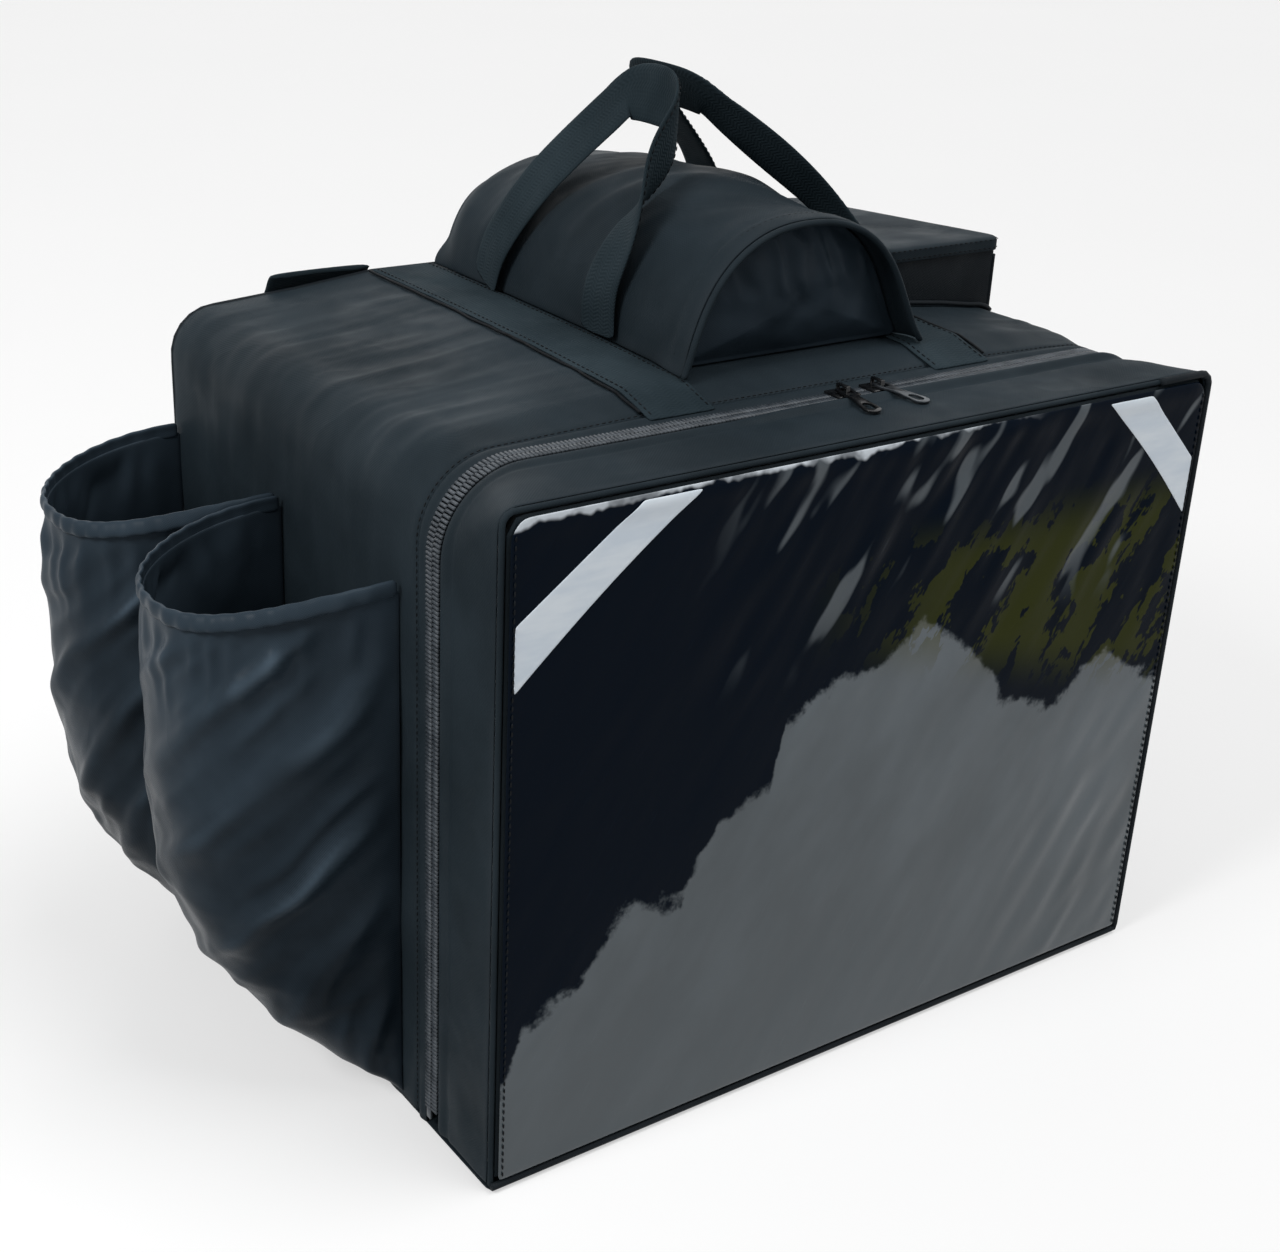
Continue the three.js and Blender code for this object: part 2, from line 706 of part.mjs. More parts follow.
function addTunnel() {
  const tunnelBackY = backY - tunnel.backInset;
  const rings = stationsBetween(tunnel.frontY, tunnelBackY).map(({ y }) =>
    wallRing(archOutline(0, y), archOutline(tunnel.cloth, y), y));
  addPiece('tunnel_shell', loft(rings), 'nylon');
  const hemBackY = tunnel.frontY - touchGap;
  const hemRings = [hemBackY - tunnel.hemDepth, hemBackY].map((y) =>
    wallRing(archOutline(-tunnel.hemProud, y), archOutline(tunnel.cloth + tunnel.hemProud, y), y));
  addPiece('tunnel_hem', loft(hemRings), 'nylon');
  const flapBackY = tunnel.frontY + tunnel.flapRecess + tunnel.flapThickness;
  const flapInset = tunnel.cloth + tunnel.flapClearance;
  const flapFace = (y, inset, lift) => archOutline(inset, y).map(([x, z]) => point(x, y, z + lift));
  const flapFrontY = flapBackY - tunnel.flapThickness;
  const flapRings = [
    flapFace(flapFrontY - tunnel.flapPuff, flapInset + tunnel.flapTaper, tunnel.flapTaper / 2),
    flapFace(flapFrontY, flapInset, touchGap),
    flapFace(flapBackY, flapInset, touchGap),
  ];
  addPiece('tunnel_flap', loft(flapRings), 'satin');
  const panelBackY = tunnelBackY - tunnel.backRecess;
  const panelRings = [panelBackY - tunnel.backPanel, panelBackY].map((y) =>
    archOutline(tunnel.cloth + touchGap, y).map(([x, z]) => point(x, y, z)));
  addPiece('tunnel_back', loft(panelRings), 'nylon');
}

// The box pouch's outline in plan
function pouchPlan(inset) {
  const left = pouch.leftX + inset;
  const right = pouch.rightX - inset;
  const front = pouch.frontY + inset;
  const back = backY - pouch.backInset - inset;
  return [[left, front], [right, front], [right, back], [left, back]];
}

// Height of the box pouch's rim, which falls toward the back
function rimZ(y) {
  return mix(pouch.frontTop, pouch.backTop, (y - pouch.frontY) / (backY - pouch.frontY));
}

// A block of the box pouch's plan, between the top panel and its rim, each raised by a lift
function pouchBlock(inset, floorLift, rimLift) {
  const left = pouch.leftX + inset;
  const right = pouch.rightX - inset;
  const bendX = halfWidth - midCornerRadius;
  const across = [left, kneeX, bendX, (bendX + right) / 2, right];
  const along = [pouch.frontY + inset, 0, backY / 2, backY - pouch.backInset - inset];
  return toSolid(loft(along.map((y) => [
    ...across.map((x) => point(x, y, topZ(x, y) + pouch.seatGap + floorLift)),
    point(right, y, rimZ(y) + rimLift),
    point(left, y, rimZ(y) + rimLift),
  ])));
}

function addPouch() {
  const level = (plan, lift) => plan.map(([x, y]) => point(x, y, rimZ(y) + lift));
  const box = pouchBlock(0, 0, 0).subtract(pouchBlock(pouch.cloth, pouch.cloth, pouch.cloth));
  addPiece('pouch_box', fromSolid(box), 'nylon');
  const lidTop = touchGap + pouch.lidThickness;
  const rimInner = pouchPlan(-pouch.lidClearance);
  const rimOuter = pouchPlan(-pouch.lidClearance - pouch.cloth);
  addPiece('pouch_lid', loft([
    level(rimInner, touchGap),
    level(rimInner, lidTop - pouch.lidRim),
    level(rimOuter, lidTop - pouch.lidRim),
    level(rimOuter, lidTop),
  ]), 'nylon');
  const cord = pouch.pipingRadius;
  const frontEdge = pouch.frontY - cord - touchGap;
  const rightEdge = pouch.rightX + cord + touchGap;
  const bendX = halfWidth - midCornerRadius;
  const acrossFront = [pouch.leftX, kneeX, bendX, (bendX + rightEdge) / 2];
  const frontRun = acrossFront.map((x) => ({ x, y: frontEdge, out: point(0, -1, 0) }));
  const alongSide = [0, backY / 2, backY - pouch.backInset];
  const sideRun = alongSide.map((y) => ({ x: rightEdge, y, out: point(1, 0, 0) }));
  const corner = { x: rightEdge, y: frontEdge, out: point(1, -1, 0) };
  const pipingRings = [...frontRun, corner, ...sideRun].map(({ x, y, out }) =>
    Array.from({ length: cordSides }, (_, k) => {
      const angle = (2 * Math.PI * k) / cordSides;
      const centre = point(x, y, topZ(x, y) + cord + pouch.seatGap);
      return centre.addScaledVector(out, cord * Math.cos(angle)).add(point(0, 0, cord * Math.sin(angle)));
    }));
  addPiece('pouch_piping', loft(pipingRings), 'nylon');
}

// A band of webbing along a curve, with its width in the plane that has the given normal.
// It is pressed thin at both feet, where it is sewn down.
function ribbon(curve, normal, { width, thickness, footThickness, steps }) {
  const rings = [];
  for (let i = 0; i <= steps; i += 1) {
    const share = i / steps;
    const centre = curve.getPointAt(share);
    const atFoot = i === 0 || i === steps;
    const run = atFoot ? point(0, 0, i === 0 ? 1 : -1) : curve.getTangentAt(share);
    const deep = atFoot ? footThickness : thickness;
    const side = normal.clone().cross(run).normalize();
    const face = run.clone().cross(side).normalize();
    const corner = (a, b) => centre.clone()
      .addScaledVector(side, (a * width) / 2)
      .addScaledVector(face, (b * deep) / 2);
    rings.push([corner(-1, -1), corner(1, -1), corner(1, 1), corner(-1, 1)]);
  }
  return loft(rings);
}

function addHandles() {
  const loops = [
    {
      name: 'left',
      x: handle.leftX,
      frontY: handle.leftFrontY,
      apexX: handle.leftApexX,
      apexBackY: handle.leftApexBackY,
      apexFrontY: handle.leftApexFrontY,
      frontBulge: handle.leftFrontBulge,
    },
    {
      name: 'right',
      x: handle.rightX,
      frontY: handle.rightFrontY,
      apexX: handle.rightApexX,
      apexBackY: handle.rightApexBackY,
      apexFrontY: handle.rightApexFrontY,
      frontBulge: 0,
    },
  ];
  const riseShares = [0, 0.24, 0.56, 0.9, 1];
  const leanShares = [0, 0.03, 0.3, 0.82, 1];
  const closeShares = [0, 0.17, 0.48, 0.85, 1];
  const bulgeShares = [0, 0.2, 1, 0.8, 0];
  for (const { name, x, frontY: legY, apexX, apexBackY, apexFrontY, frontBulge } of loops) {
    const stripTop = Math.max(topZ(x, handle.backY), topZ(x, legY)) + touchGap + strip.thickness;
    const seat = stripTop + touchGap;
    const leg = (baseY, apexY, bulge) => riseShares.map((rise, i) => point(
      mix(x, apexX, leanShares[i]),
      mix(baseY, apexY, closeShares[i]) + bulge * bulgeShares[i],
      seat + handle.apexHeight * rise,
    ));
    const front = leg(legY, apexFrontY, frontBulge);
    const path = [...leg(handle.backY, apexBackY, 0), ...front.reverse()];
    const curve = new THREE.CatmullRomCurve3(path, false, 'centripetal');
    const lean = point(apexX - x, 0, handle.apexHeight).normalize();
    const normal = point(0, 1, 0).cross(lean);
    addPiece(`handle_${name}`, ribbon(curve, normal, handle), 'webbing');
  }
  const strips = [
    { name: 'left', fromX: seamLeftX },
    { name: 'right', fromX: seamRightX - strip.width },
  ];
  for (const { name, fromX } of strips) {
    const toX = fromX + strip.width;
    const stations = stationsBetween(bodyFrontY + strip.frontSetback, backY - strip.backSetback);
    const rings = stations.map(({ y }) => {
      const lower = [fromX, toX].map((x) => [x, topZ(x, y) + touchGap]);
      const upper = lower.map(([x, z]) => [x, z + strip.thickness]);
      return wallRing(upper, lower, y);
    });
    addPiece(`top_webbing_${name}`, loft(rings), 'webbing');
  }
}

// One pocket's outline in plan, from its front seam round to its rear seam
function pocketPlan(side, startY, depth, inset) {
  const half = pocket.width / 2 - pocket.seamGap - inset;
  const reach = Math.max(depth - inset, touchGap);
  const middle = startY + pocket.width / 2;
  return Array.from({ length: pocket.steps + 1 }, (_, i) => {
    const angle = (Math.PI * i) / pocket.steps;
    const across = Math.sign(Math.cos(angle)) * Math.abs(Math.cos(angle)) ** (2 / pocket.roundness);
    const out = i === 0 || i === pocket.steps ? 0 : Math.sin(angle) ** (2 / pocket.roundness);
    return [side * (halfWidth + touchGap + reach * out), middle - half * across];
  });
}

function addPockets() {
  const places = [
    { name: 'left_front', side: -1, row: 0 },
    { name: 'left_rear', side: -1, row: 1 },
    { name: 'right_front', side: 1, row: 0 },
    { name: 'right_rear', side: 1, row: 1 },
  ];
  const wall = (outer, inner, z) => [...outer, ...inner.slice().reverse()].map(([x, y]) => point(x, y, z));
  for (const { name, side, row } of places) {
    const startY = pocket.frontY + row * pocket.width;
    const rings = pocket.heightShares.map((share, i) => {
      const depth = pocket.depth * pocket.depthShares[i];
      const outer = pocketPlan(side, startY, depth, 0);
      const inner = pocketPlan(side, startY, depth, pocket.cloth);
      return wall(outer, inner, pocket.foot + pocket.height * share);
    });
    addPiece(`pocket_${name}`, loft(rings), 'satin');
    const mouth = pocket.depth * pocket.depthShares[pocket.depthShares.length - 1];
    const hemFoot = pocket.foot + pocket.height + touchGap;
    const proud = (pocket.hemThickness - pocket.cloth) / 2;
    const outer = pocketPlan(side, startY, mouth, -proud / 2);
    const inner = pocketPlan(side, startY, mouth, pocket.cloth + proud);
    const hemRings = [hemFoot, hemFoot + pocket.hemHeight].map((z) => wall(outer, inner, z));
    addPiece(`pocket_hem_${name}`, loft(hemRings), 'satin');
  }
}

// A rounded rectangle in X and Z, standing on foot
function roundedPanel(width, foot, height, radius, inset) {
  const half = width / 2 - inset;
  const bend = radius - inset;
  const low = foot + inset;
  const high = foot + height - inset;
  const centres = [
    [half - bend, high - bend, 0],
    [bend - half, high - bend, 1],
    [bend - half, low + bend, 2],
    [half - bend, low + bend, 3],
  ];
  const steps = backPad.cornerSteps;
  return centres.flatMap(([x, z, quarter]) => Array.from({ length: steps + 1 }, (_, i) => {
    const angle = (Math.PI / 2) * (quarter + i / steps);
    return [x + bend * Math.cos(angle), z + bend * Math.sin(angle)];
  }));
}

// The back pad, a cushion with rounded edges
function addBackPad() {
  const start = backY + touchGap;
  const layers = [
    [start, backPad.taper],
    [start + backPad.edge, 0],
    [start + backPad.thickness - backPad.edge, 0],
    [start + backPad.thickness, backPad.taper * 2],
  ];
  const rings = layers.map(([y, inset]) =>
    roundedPanel(backPad.width, backPad.foot, padHeight, backPad.radius, inset)
      .map(([x, z]) => point(x, y, z)));
  addPiece('back_pad', loft(rings), 'mesh');
}

// One padded shoulder strap, from the fold at its top to the ladder lock at its foot
function strapBody(side, startY) {
  const standShares = [0, 0.35, 0.78, 1, 0.92, 0.6, 0];
  const points = standShares.map((share, i) => {
    const down = i / (standShares.length - 1);
    const stand = share * strap.standOff + mix(0, strap.footStandOff, down);
    return point(
      side * mix(strapTopX, strapLowX, down),
      startY + strap.thickness / 2 + stand,
      mix(hangZ, strap.footZ, down),
    );
  });
  const curve = new THREE.CatmullRomCurve3(points, false, 'centripetal');
  const rings = [];
  for (let i = 0; i <= strap.steps; i += 1) {
    const share = i / strap.steps;
    const centre = curve.getPointAt(share);
    const atEnd = i === 0 || i === strap.steps;
    const run = atEnd ? point(0, 0, -1) : curve.getTangentAt(share);
    const out = point(1, 0, 0).cross(run).normalize();
    const halfAcross = strap.width / 2;
    const halfDeep = strap.thickness / 2;
    const corners = [
      [-1, 0, -1], [-1, 0, 1], [-1, 1, 1], [1, 1, 1], [1, 0, 1], [1, 0, -1], [1, 1, -1], [-1, 1, -1],
    ];
    rings.push(corners.map(([across, rim, deep]) => centre.clone()
      .add(point(across * (halfAcross - rim * strap.rim), 0, 0))
      .addScaledVector(out, deep * (halfDeep - (1 - rim) * strap.rim))));
  }
  return loft(rings);
}

// The frame of a ladder lock: a rectangle with two slots between three bars
function ladderLock(side, centreY) {
  const half = lock.width / 2;
  const slotHeight = (lock.height - 3 * lock.bar) / 2;
  const topEdge = strap.footZ - lock.clearance;
  const shape = new THREE.Shape([
    new THREE.Vector2(-half, -lock.height),
    new THREE.Vector2(half, -lock.height),
    new THREE.Vector2(half, 0),
    new THREE.Vector2(-half, 0),
  ]);
  for (const row of [0, 1]) {
    const high = -lock.bar - row * (slotHeight + lock.bar);
    const low = high - slotHeight;
    shape.holes.push(new THREE.Path([
      new THREE.Vector2(lock.rail - half, low),
      new THREE.Vector2(half - lock.rail, low),
      new THREE.Vector2(half - lock.rail, high),
      new THREE.Vector2(lock.rail - half, high),
    ]));
  }
  const geometry = new THREE.ExtrudeGeometry(shape, { depth: lock.thickness, bevelEnabled: false });
  geometry.rotateX(Math.PI / 2);
  geometry.translate(side * strapLowX, centreY + lock.thickness / 2, topEdge);
  return geometry;
}

function addStraps() {
  const padBackY = backY + touchGap + backPad.thickness;
  const startY = padBackY + strap.hangGap;
  const lockY = startY + strap.footStandOff + strap.thickness / 2;
  for (const [name, side] of [['left', -1], ['right', 1]]) {
    const halfRoot = strap.width / 2;
    const centreX = side * strapTopX;
    const sheet = strap.rootThickness;
    const panelOut = backY + touchGap;
    const rootRings = [centreX - halfRoot, centreX + halfRoot].map((x) => {
      const seat = Math.max(...[-1, 1].map((e) => topZ(centreX + e * halfRoot, backY))) + touchGap;
      const frontEnd = backY - strap.rootReach;
      const outerY = startY + strap.thickness;
      const low = hangZ + strap.rootGap;
      return [
        point(x, frontEnd, seat),
        point(x, frontEnd, seat + sheet),
        point(x, panelOut, seat + sheet),
        point(x, outerY, low + strap.rootDrop),
        point(x, outerY, low),
        point(x, startY, low),
        point(x, panelOut, low + strap.rootDrop),
        point(x, panelOut, seat),
      ];
    });
    addPiece(`strap_root_${name}`, loft(rootRings), 'webbing');
    addPiece(`strap_${name}`, strapBody(side, startY), 'mesh');
    addPiece(`ladder_lock_${name}`, ladderLock(side, lockY), 'plastic');
    const lockFoot = strap.footZ - lock.clearance - lock.height;
    const halfWeb = webbing.width / 2;
    const centreLow = side * strapLowX;
    const anchorY = backY + touchGap;
    const anchorBack = anchorY + webbing.anchorThickness;
    const halfAnchor = webbing.anchorWidth / 2;
    const anchorLow = webbing.footZ - webbing.anchorHeight / 2;
    const anchor = boxBetween(
      [centreLow - halfAnchor, anchorY, anchorLow],
      [centreLow + halfAnchor, anchorBack, anchorLow + webbing.anchorHeight],
    );
    addPiece(`webbing_anchor_${name}`, anchor, 'webbing');
    const seatY = anchorBack + touchGap;
    const bandPath = [
      [seatY, anchorLow + webbing.thickness],
      [seatY, webbing.footZ],
      [padBackY + touchGap, backPad.foot + webbing.rise],
      [lockY - lock.thickness / 2, lockFoot - touchGap],
    ];
    const bandRings = bandPath.map(([y, z]) => [
      point(centreLow - halfWeb, y, z),
      point(centreLow + halfWeb, y, z),
      point(centreLow + halfWeb, y + webbing.thickness, z),
      point(centreLow - halfWeb, y + webbing.thickness, z),
    ]);
    addPiece(`lower_webbing_${name}`, loft(bandRings), 'webbing');
  }
}

addShell();
addInsulation();
addDoor();
addZipper();
addSliders();
addTunnel();
addPouch();
addHandles();
addPockets();
addBackPad();
addStraps();

export default bag;
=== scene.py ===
"""Looks of a square food delivery backpack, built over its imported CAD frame.

Sizes in the classes are millimetres in the frame's own axes, and the meshes are made in metres.
"""

from __future__ import annotations

import logging
import math
from collections.abc import Callable, Iterable, Sequence
from dataclasses import dataclass
from enum import Enum

import bmesh
import bpy
from mathutils import Matrix, Vector, noise


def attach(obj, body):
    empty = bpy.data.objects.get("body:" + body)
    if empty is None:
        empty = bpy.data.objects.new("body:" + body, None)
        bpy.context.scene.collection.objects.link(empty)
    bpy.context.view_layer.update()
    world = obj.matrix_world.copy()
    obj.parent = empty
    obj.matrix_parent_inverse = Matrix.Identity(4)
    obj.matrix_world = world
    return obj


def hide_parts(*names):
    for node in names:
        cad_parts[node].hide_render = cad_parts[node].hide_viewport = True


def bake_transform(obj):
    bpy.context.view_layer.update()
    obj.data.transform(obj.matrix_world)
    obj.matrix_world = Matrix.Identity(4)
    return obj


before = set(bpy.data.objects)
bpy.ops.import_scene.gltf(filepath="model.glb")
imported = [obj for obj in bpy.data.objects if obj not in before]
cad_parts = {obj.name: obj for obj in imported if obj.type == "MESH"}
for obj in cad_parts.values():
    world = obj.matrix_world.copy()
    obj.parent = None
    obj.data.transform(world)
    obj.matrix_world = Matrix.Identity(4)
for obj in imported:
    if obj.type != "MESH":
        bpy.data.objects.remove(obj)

MM = 0.001
CURVE_STEPS = 24  # points between two knots of a curve
RIGHT, REAR, UP = Vector((1, 0, 0)), Vector((0, 1, 0)), Vector((0, 0, 1))
log = logging.getLogger("backpack")
Place = Callable[[float, float], Vector]


# ---------------------------------------------------------------- small measures


def mix(a: float, b: float, share: float) -> float:
    """The value that lies a share of the way from a to b."""
    return a + (b - a) * share


def clamp(value: float, low: float = 0.0, high: float = 1.0) -> float:
    """The value kept between low and high."""
    return min(high, max(low, value))


def smooth(low: float, high: float, value: float) -> float:
    """A soft step from 0 at low to 1 at high."""
    t = clamp((value - low) / (high - low))
    return t * t * (3 - 2 * t)


def wander(x: float, y: float = 0.0, z: float = 0.0) -> float:
    """Soft unrepeating ups and downs, from about -1 to 1."""
    return noise.noise(Vector((x, y, z)))


def ridge(phase: float, sharpness: float = 1.5) -> float:
    """A fold's cross section, 1 on its crest and 0 in its valley.

    Args:
        phase: Place across the folds, one fold per whole number.
        sharpness: How narrow the crests are.

    Returns:
        Height share of the fold.
    """
    return (0.5 + 0.5 * math.cos(2 * math.pi * phase)) ** sharpness


def steps_between(values: Sequence[float], places: Sequence[float], at: float) -> float:
    """Reads a table of values by their places, in straight steps."""
    if at <= places[0]:
        return values[0]
    for (p, q), (a, b) in zip(zip(places, places[1:]), zip(values, values[1:])):
        if at <= q:
            return mix(a, b, (at - p) / (q - p))
    return values[-1]


def hump(at: float, middle: float, width: float) -> float:
    """A soft rise, 1 at its middle and about a third one width away from it."""
    return math.exp(-(((at - middle) / width) ** 2))


def squared(turn: float, power: float) -> tuple[float, float]:
    """Cosine and sine of a turn, raised to a power so that the circle becomes a rounded square."""
    c, s = math.cos(turn), math.sin(turn)
    return math.copysign(abs(c) ** power, c), math.copysign(abs(s) ** power, s)


def directions(path: Sequence[Vector]) -> list[Vector]:
    """The way that a path runs at each of its points."""
    last = len(path) - 1
    return [(path[min(i + 1, last)] - path[max(i - 1, 0)]).normalized() for i in range(last + 1)]


def lengths_along(path: Sequence[Vector]) -> list[float]:
    """The length of a path up to each of its points."""
    lengths = [0.0]
    for a, b in zip(path, path[1:]):
        lengths.append(lengths[-1] + (b - a).length)
    return lengths


def through(knots: Sequence[Vector], count: int) -> list[Vector]:
    """Evenly spaced points on a smooth curve through the knots."""
    fine = []
    for i in range(len(knots) - 1):
        p0, p1 = knots[max(0, i - 1)], knots[i]
        p2, p3 = knots[i + 1], knots[min(len(knots) - 1, i + 2)]
        for k in range(CURVE_STEPS):
            t = k / CURVE_STEPS
            square, cube = (2 * p0 - 5 * p1 + 4 * p2 - p3) * t * t, (3 * p1 - p0 - 3 * p2 + p3) * t * t * t
            fine.append(0.5 * (2 * p1 + (p2 - p0) * t + square + cube))
    fine.append(knots[-1].copy())
    lengths = lengths_along(fine)
    out, j = [], 0
    for i in range(count):
        at = lengths[-1] * i / (count - 1)
        while j < len(fine) - 2 and lengths[j + 1] < at:
            j += 1
        span = lengths[j + 1] - lengths[j]
        out.append(fine[j].lerp(fine[j + 1], clamp((at - lengths[j]) / span if span else 0)))
    return out


def merge(bm: bmesh.types.BMesh, reach: float = 0.3) -> None:
    """Joins a mesh's points that lie within a reach in millimetres."""
    bmesh.ops.remove_doubles(bm, verts=bm.verts, dist=reach * MM)


def close(bm: bmesh.types.BMesh) -> None:
    """Fills a mesh's open ends and turns its faces outwards."""
    bmesh.ops.holes_fill(bm, edges=[e for e in bm.edges if e.is_boundary], sides=0)
    bmesh.ops.recalc_face_normals(bm, faces=bm.faces)


# ---------------------------------------------------------------- making meshes


@dataclass
class Cloth:
    """Turns flat grids, bands and cords into finished pieces."""

    name: str
    body: str
    slot: str
    look: Finish
    # How much lighter or darker a whole piece is painted where no crest is given, from -1 to 1.
    plain_crest: float = 0.0

    def finish(
        self,
        bm: bmesh.types.BMesh,
        thickness: float = 0.0,
        rounds: int = 1,
        replaces: Iterable[str] = (),
        ride: bool = True,
    ) -> bpy.types.Object:
        """Makes the object of a mesh, gives it its cloth thickness and sets it on its body.

        Args:
            bm: The shaped mesh, which is freed here.
            thickness: Cloth thickness laid inwards, in millimetres, or 0 for none.
            rounds: Rounds of subdivision.
            replaces: CAD nodes that the piece stands for.
            ride: Whether it is set on its body here.

        Returns:
            The finished object.
        """
        mesh = bpy.data.meshes.new(self.name)
        for face in bm.faces:
            face.smooth = True
        bm.to_mesh(mesh)
        bm.free()
        obj = shown(self.name, mesh)
        mesh.materials.append(self.look.build())
        if thickness:
            wall = obj.modifiers.new("cloth thickness", "SOLIDIFY")
            wall.thickness = thickness * MM
            wall.offset = -1
            wall.use_even_offset = False
        if rounds:
            soft = obj.modifiers.new("rounded", "SUBSURF")
            soft.levels = rounds
            soft.render_levels = rounds
        if ride:
            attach(obj, self.body)
        names = list(replaces)
        if names:
            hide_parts(*names)
        log.info("%s rides on %s, %d faces", self.name, self.body, len(mesh.polygons))
        return obj

    def grid(
        self,
        columns: int,
        rows: int,
        size: tuple[float, float],
        place: Place,
        hub: Vector,
        edge: float = 6.0,
        joined: bool = False,
        crest: Callable[[float, float], float] | None = None,
    ) -> bmesh.types.BMesh:
        """Bends a flat woven grid into shape.

        Args:
            columns: Cells across.
            rows: Cells along.
            size: Cut size of the cloth, in millimetres, for its weave.
            place: Gives the point, in millimetres, for a share across and a share along.
            hub: A point in millimetres that the outer face looks away from.
            edge: Width of the worn border, in millimetres.
            joined: Whether its first and last columns meet.
            crest: Gives how much lighter or darker a place is painted, from -1 to 1, as painted highlight on
                the crests of folds and painted shade in their valleys, or None for evenly.

        Returns:
            The bent grid in metres.
        """
        bm = bmesh.new()
        bmesh.ops.create_grid(bm, x_segments=columns, y_segments=rows, size=0.5)
        weave = bm.loops.layers.uv.new("UVMap")
        border = bm.verts.layers.float.new("edge")
        painted_fold_light = bm.verts.layers.float.new("crest")
        for face in bm.faces:
            for loop in face.loops:
                flat = loop.vert.co
                loop[weave].uv = ((flat.x + 0.5) * size[0] * MM, (flat.y + 0.5) * size[1] * MM)
        for vert in bm.verts:
            across, along = vert.co.x + 0.5, vert.co.y + 0.5
            near = min(along, 1 - along) * size[1]
            if not joined:
                near = min(near, min(across, 1 - across) * size[0])
            vert[border] = 1 - smooth(0, edge, near)
            vert[painted_fold_light] = crest(across, along) if crest else self.plain_crest
            vert.co = place(clamp(across), clamp(along)) * MM
        if joined:
            merge(bm, 0.02)
        bm.normal_update()
        facing = sum(f.normal.dot(f.calc_center_median() - hub * MM) * f.calc_area() for f in bm.faces)
        if facing < 0:
            bmesh.ops.reverse_faces(bm, faces=bm.faces)
        return bm

    def band(
        self,
        path: Sequence[Vector],
        faces: Sequence[Vector],
        width: float,
        thickness: float,
        across: int = 4,
        crown: float = 0.0,
        ends: float = 1.0,
    ) -> bmesh.types.BMesh:
        """A closed band of webbing along a path.

        Args:
            path: Centre line in millimetres.
            faces: The band's outward direction at each point.
            width: Band width in millimetres.
            thickness: Band thickness in millimetres.
            across: Cells across each face.
            crown: How much the middle stands above the edges, in millimetres.
            ends: Thickness share at its two ends, where it is sewn in.

        Returns:
            The band's mesh in metres.
        """
        count = len(path)
        runs = directions(path)
        round_trip = 2 * (across + 1)

        def place(share_round: float, share_along: float) -> Vector:
            """A point of the band's skin, by its share round and along."""
            i = min(count - 1, round(share_along * (count - 1)))
            side = runs[i].cross(faces[i]).normalized()
            face = side.cross(runs[i]).normalized()
            k = round(share_round * round_trip) % round_trip
            top = k <= across
            offset = (k / across) if top else 1 - (k - across - 1) / across
            inset = 0.0 if 0 < offset < 1 else 0.12
            rise = (0.5 - inset) * (1 if top else -1) * thickness
            arch = crown * (1 - (2 * offset - 1) ** 2)
            thin = mix(ends, 1.0, smooth(0, 4, min(i, count - 1 - i)))
            return path[i] + side * ((offset - 0.5) * width) + face * ((rise + arch) * thin)

        size = (2 * width + 2 * thickness, lengths_along(path)[-1])
        bm = self.grid(round_trip, count - 1, size, place, path[count // 2], 0.1, True)
        close(bm)
        return bm

    def cord(
        self, path: Sequence[Vector], radius: float, sides: int = 8, squash: float = 1.0
    ) -> bmesh.types.BMesh:
        """A closed round cord along a path.

        Args:
            path: Centre line in millimetres.
            radius: Cord radius in millimetres.
            sides: Cells round it.
            squash: Its height as a share of its width.

        Returns:
            The cord's mesh in metres.
        """
        count = len(path)
        runs = directions(path)
        start = UP if abs(runs[0].z) < 0.9 else RIGHT
        ups = [start - runs[0] * start.dot(runs[0])]
        for run in runs[1:]:
            ups.append(ups[-1] - run * ups[-1].dot(run))
        length = lengths_along(path)[-1]

        def place(share_round: float, share_along: float) -> Vector:
            """A point of the cord's skin, by its share round and along."""
            i = min(count - 1, round(share_along * (count - 1)))
            up = ups[i].normalized()
            side = runs[i].cross(up)
            turn = 2 * math.pi * (round(share_round * sides) % sides) / sides
            return path[i] + side * (radius * math.cos(turn)) + up * (radius * squash * math.sin(turn))

        bm = self.grid(sides, count - 1, (2 * math.pi * radius, length), place, path[count // 2], 0.1, True)
        close(bm)
        return bm

    def stitches(
        self, path: Sequence[Vector], faces: Sequence[Vector], pitch: float, thread: float
    ) -> bmesh.types.BMesh:
        """A run of sewn stitches that lies on a surface.

        Args:
            path: Line of the seam in millimetres.
            faces: The surface's outward direction at each point.
            pitch: Length of one stitch and its gap, in millimetres.
            thread: Thread radius in millimetres.

        Returns:
            The stitches' mesh in metres.
        """
        bm = bmesh.new()
        carried = pitch / 2
        for i, (a, b) in enumerate(zip(path, path[1:])):
            span = (b - a).length
            while carried < span:
                run = (b - a).normalized()
                face = faces[i].lerp(faces[i + 1], carried / span)
                side = run.cross(face).normalized()
                up = side.cross(run)
                turn = Matrix((side, run, up)).transposed().to_4x4()
                sizes = Matrix.Diagonal((thread, pitch * 0.36, thread * 0.8, 1))
                spot = Matrix.Translation((a + run * carried) * MM)
                bmesh.ops.create_uvsphere(
                    bm, u_segments=6, v_segments=4, radius=MM, matrix=spot @ turn @ sizes
                )
                carried += pitch
            carried -= span
        return bm


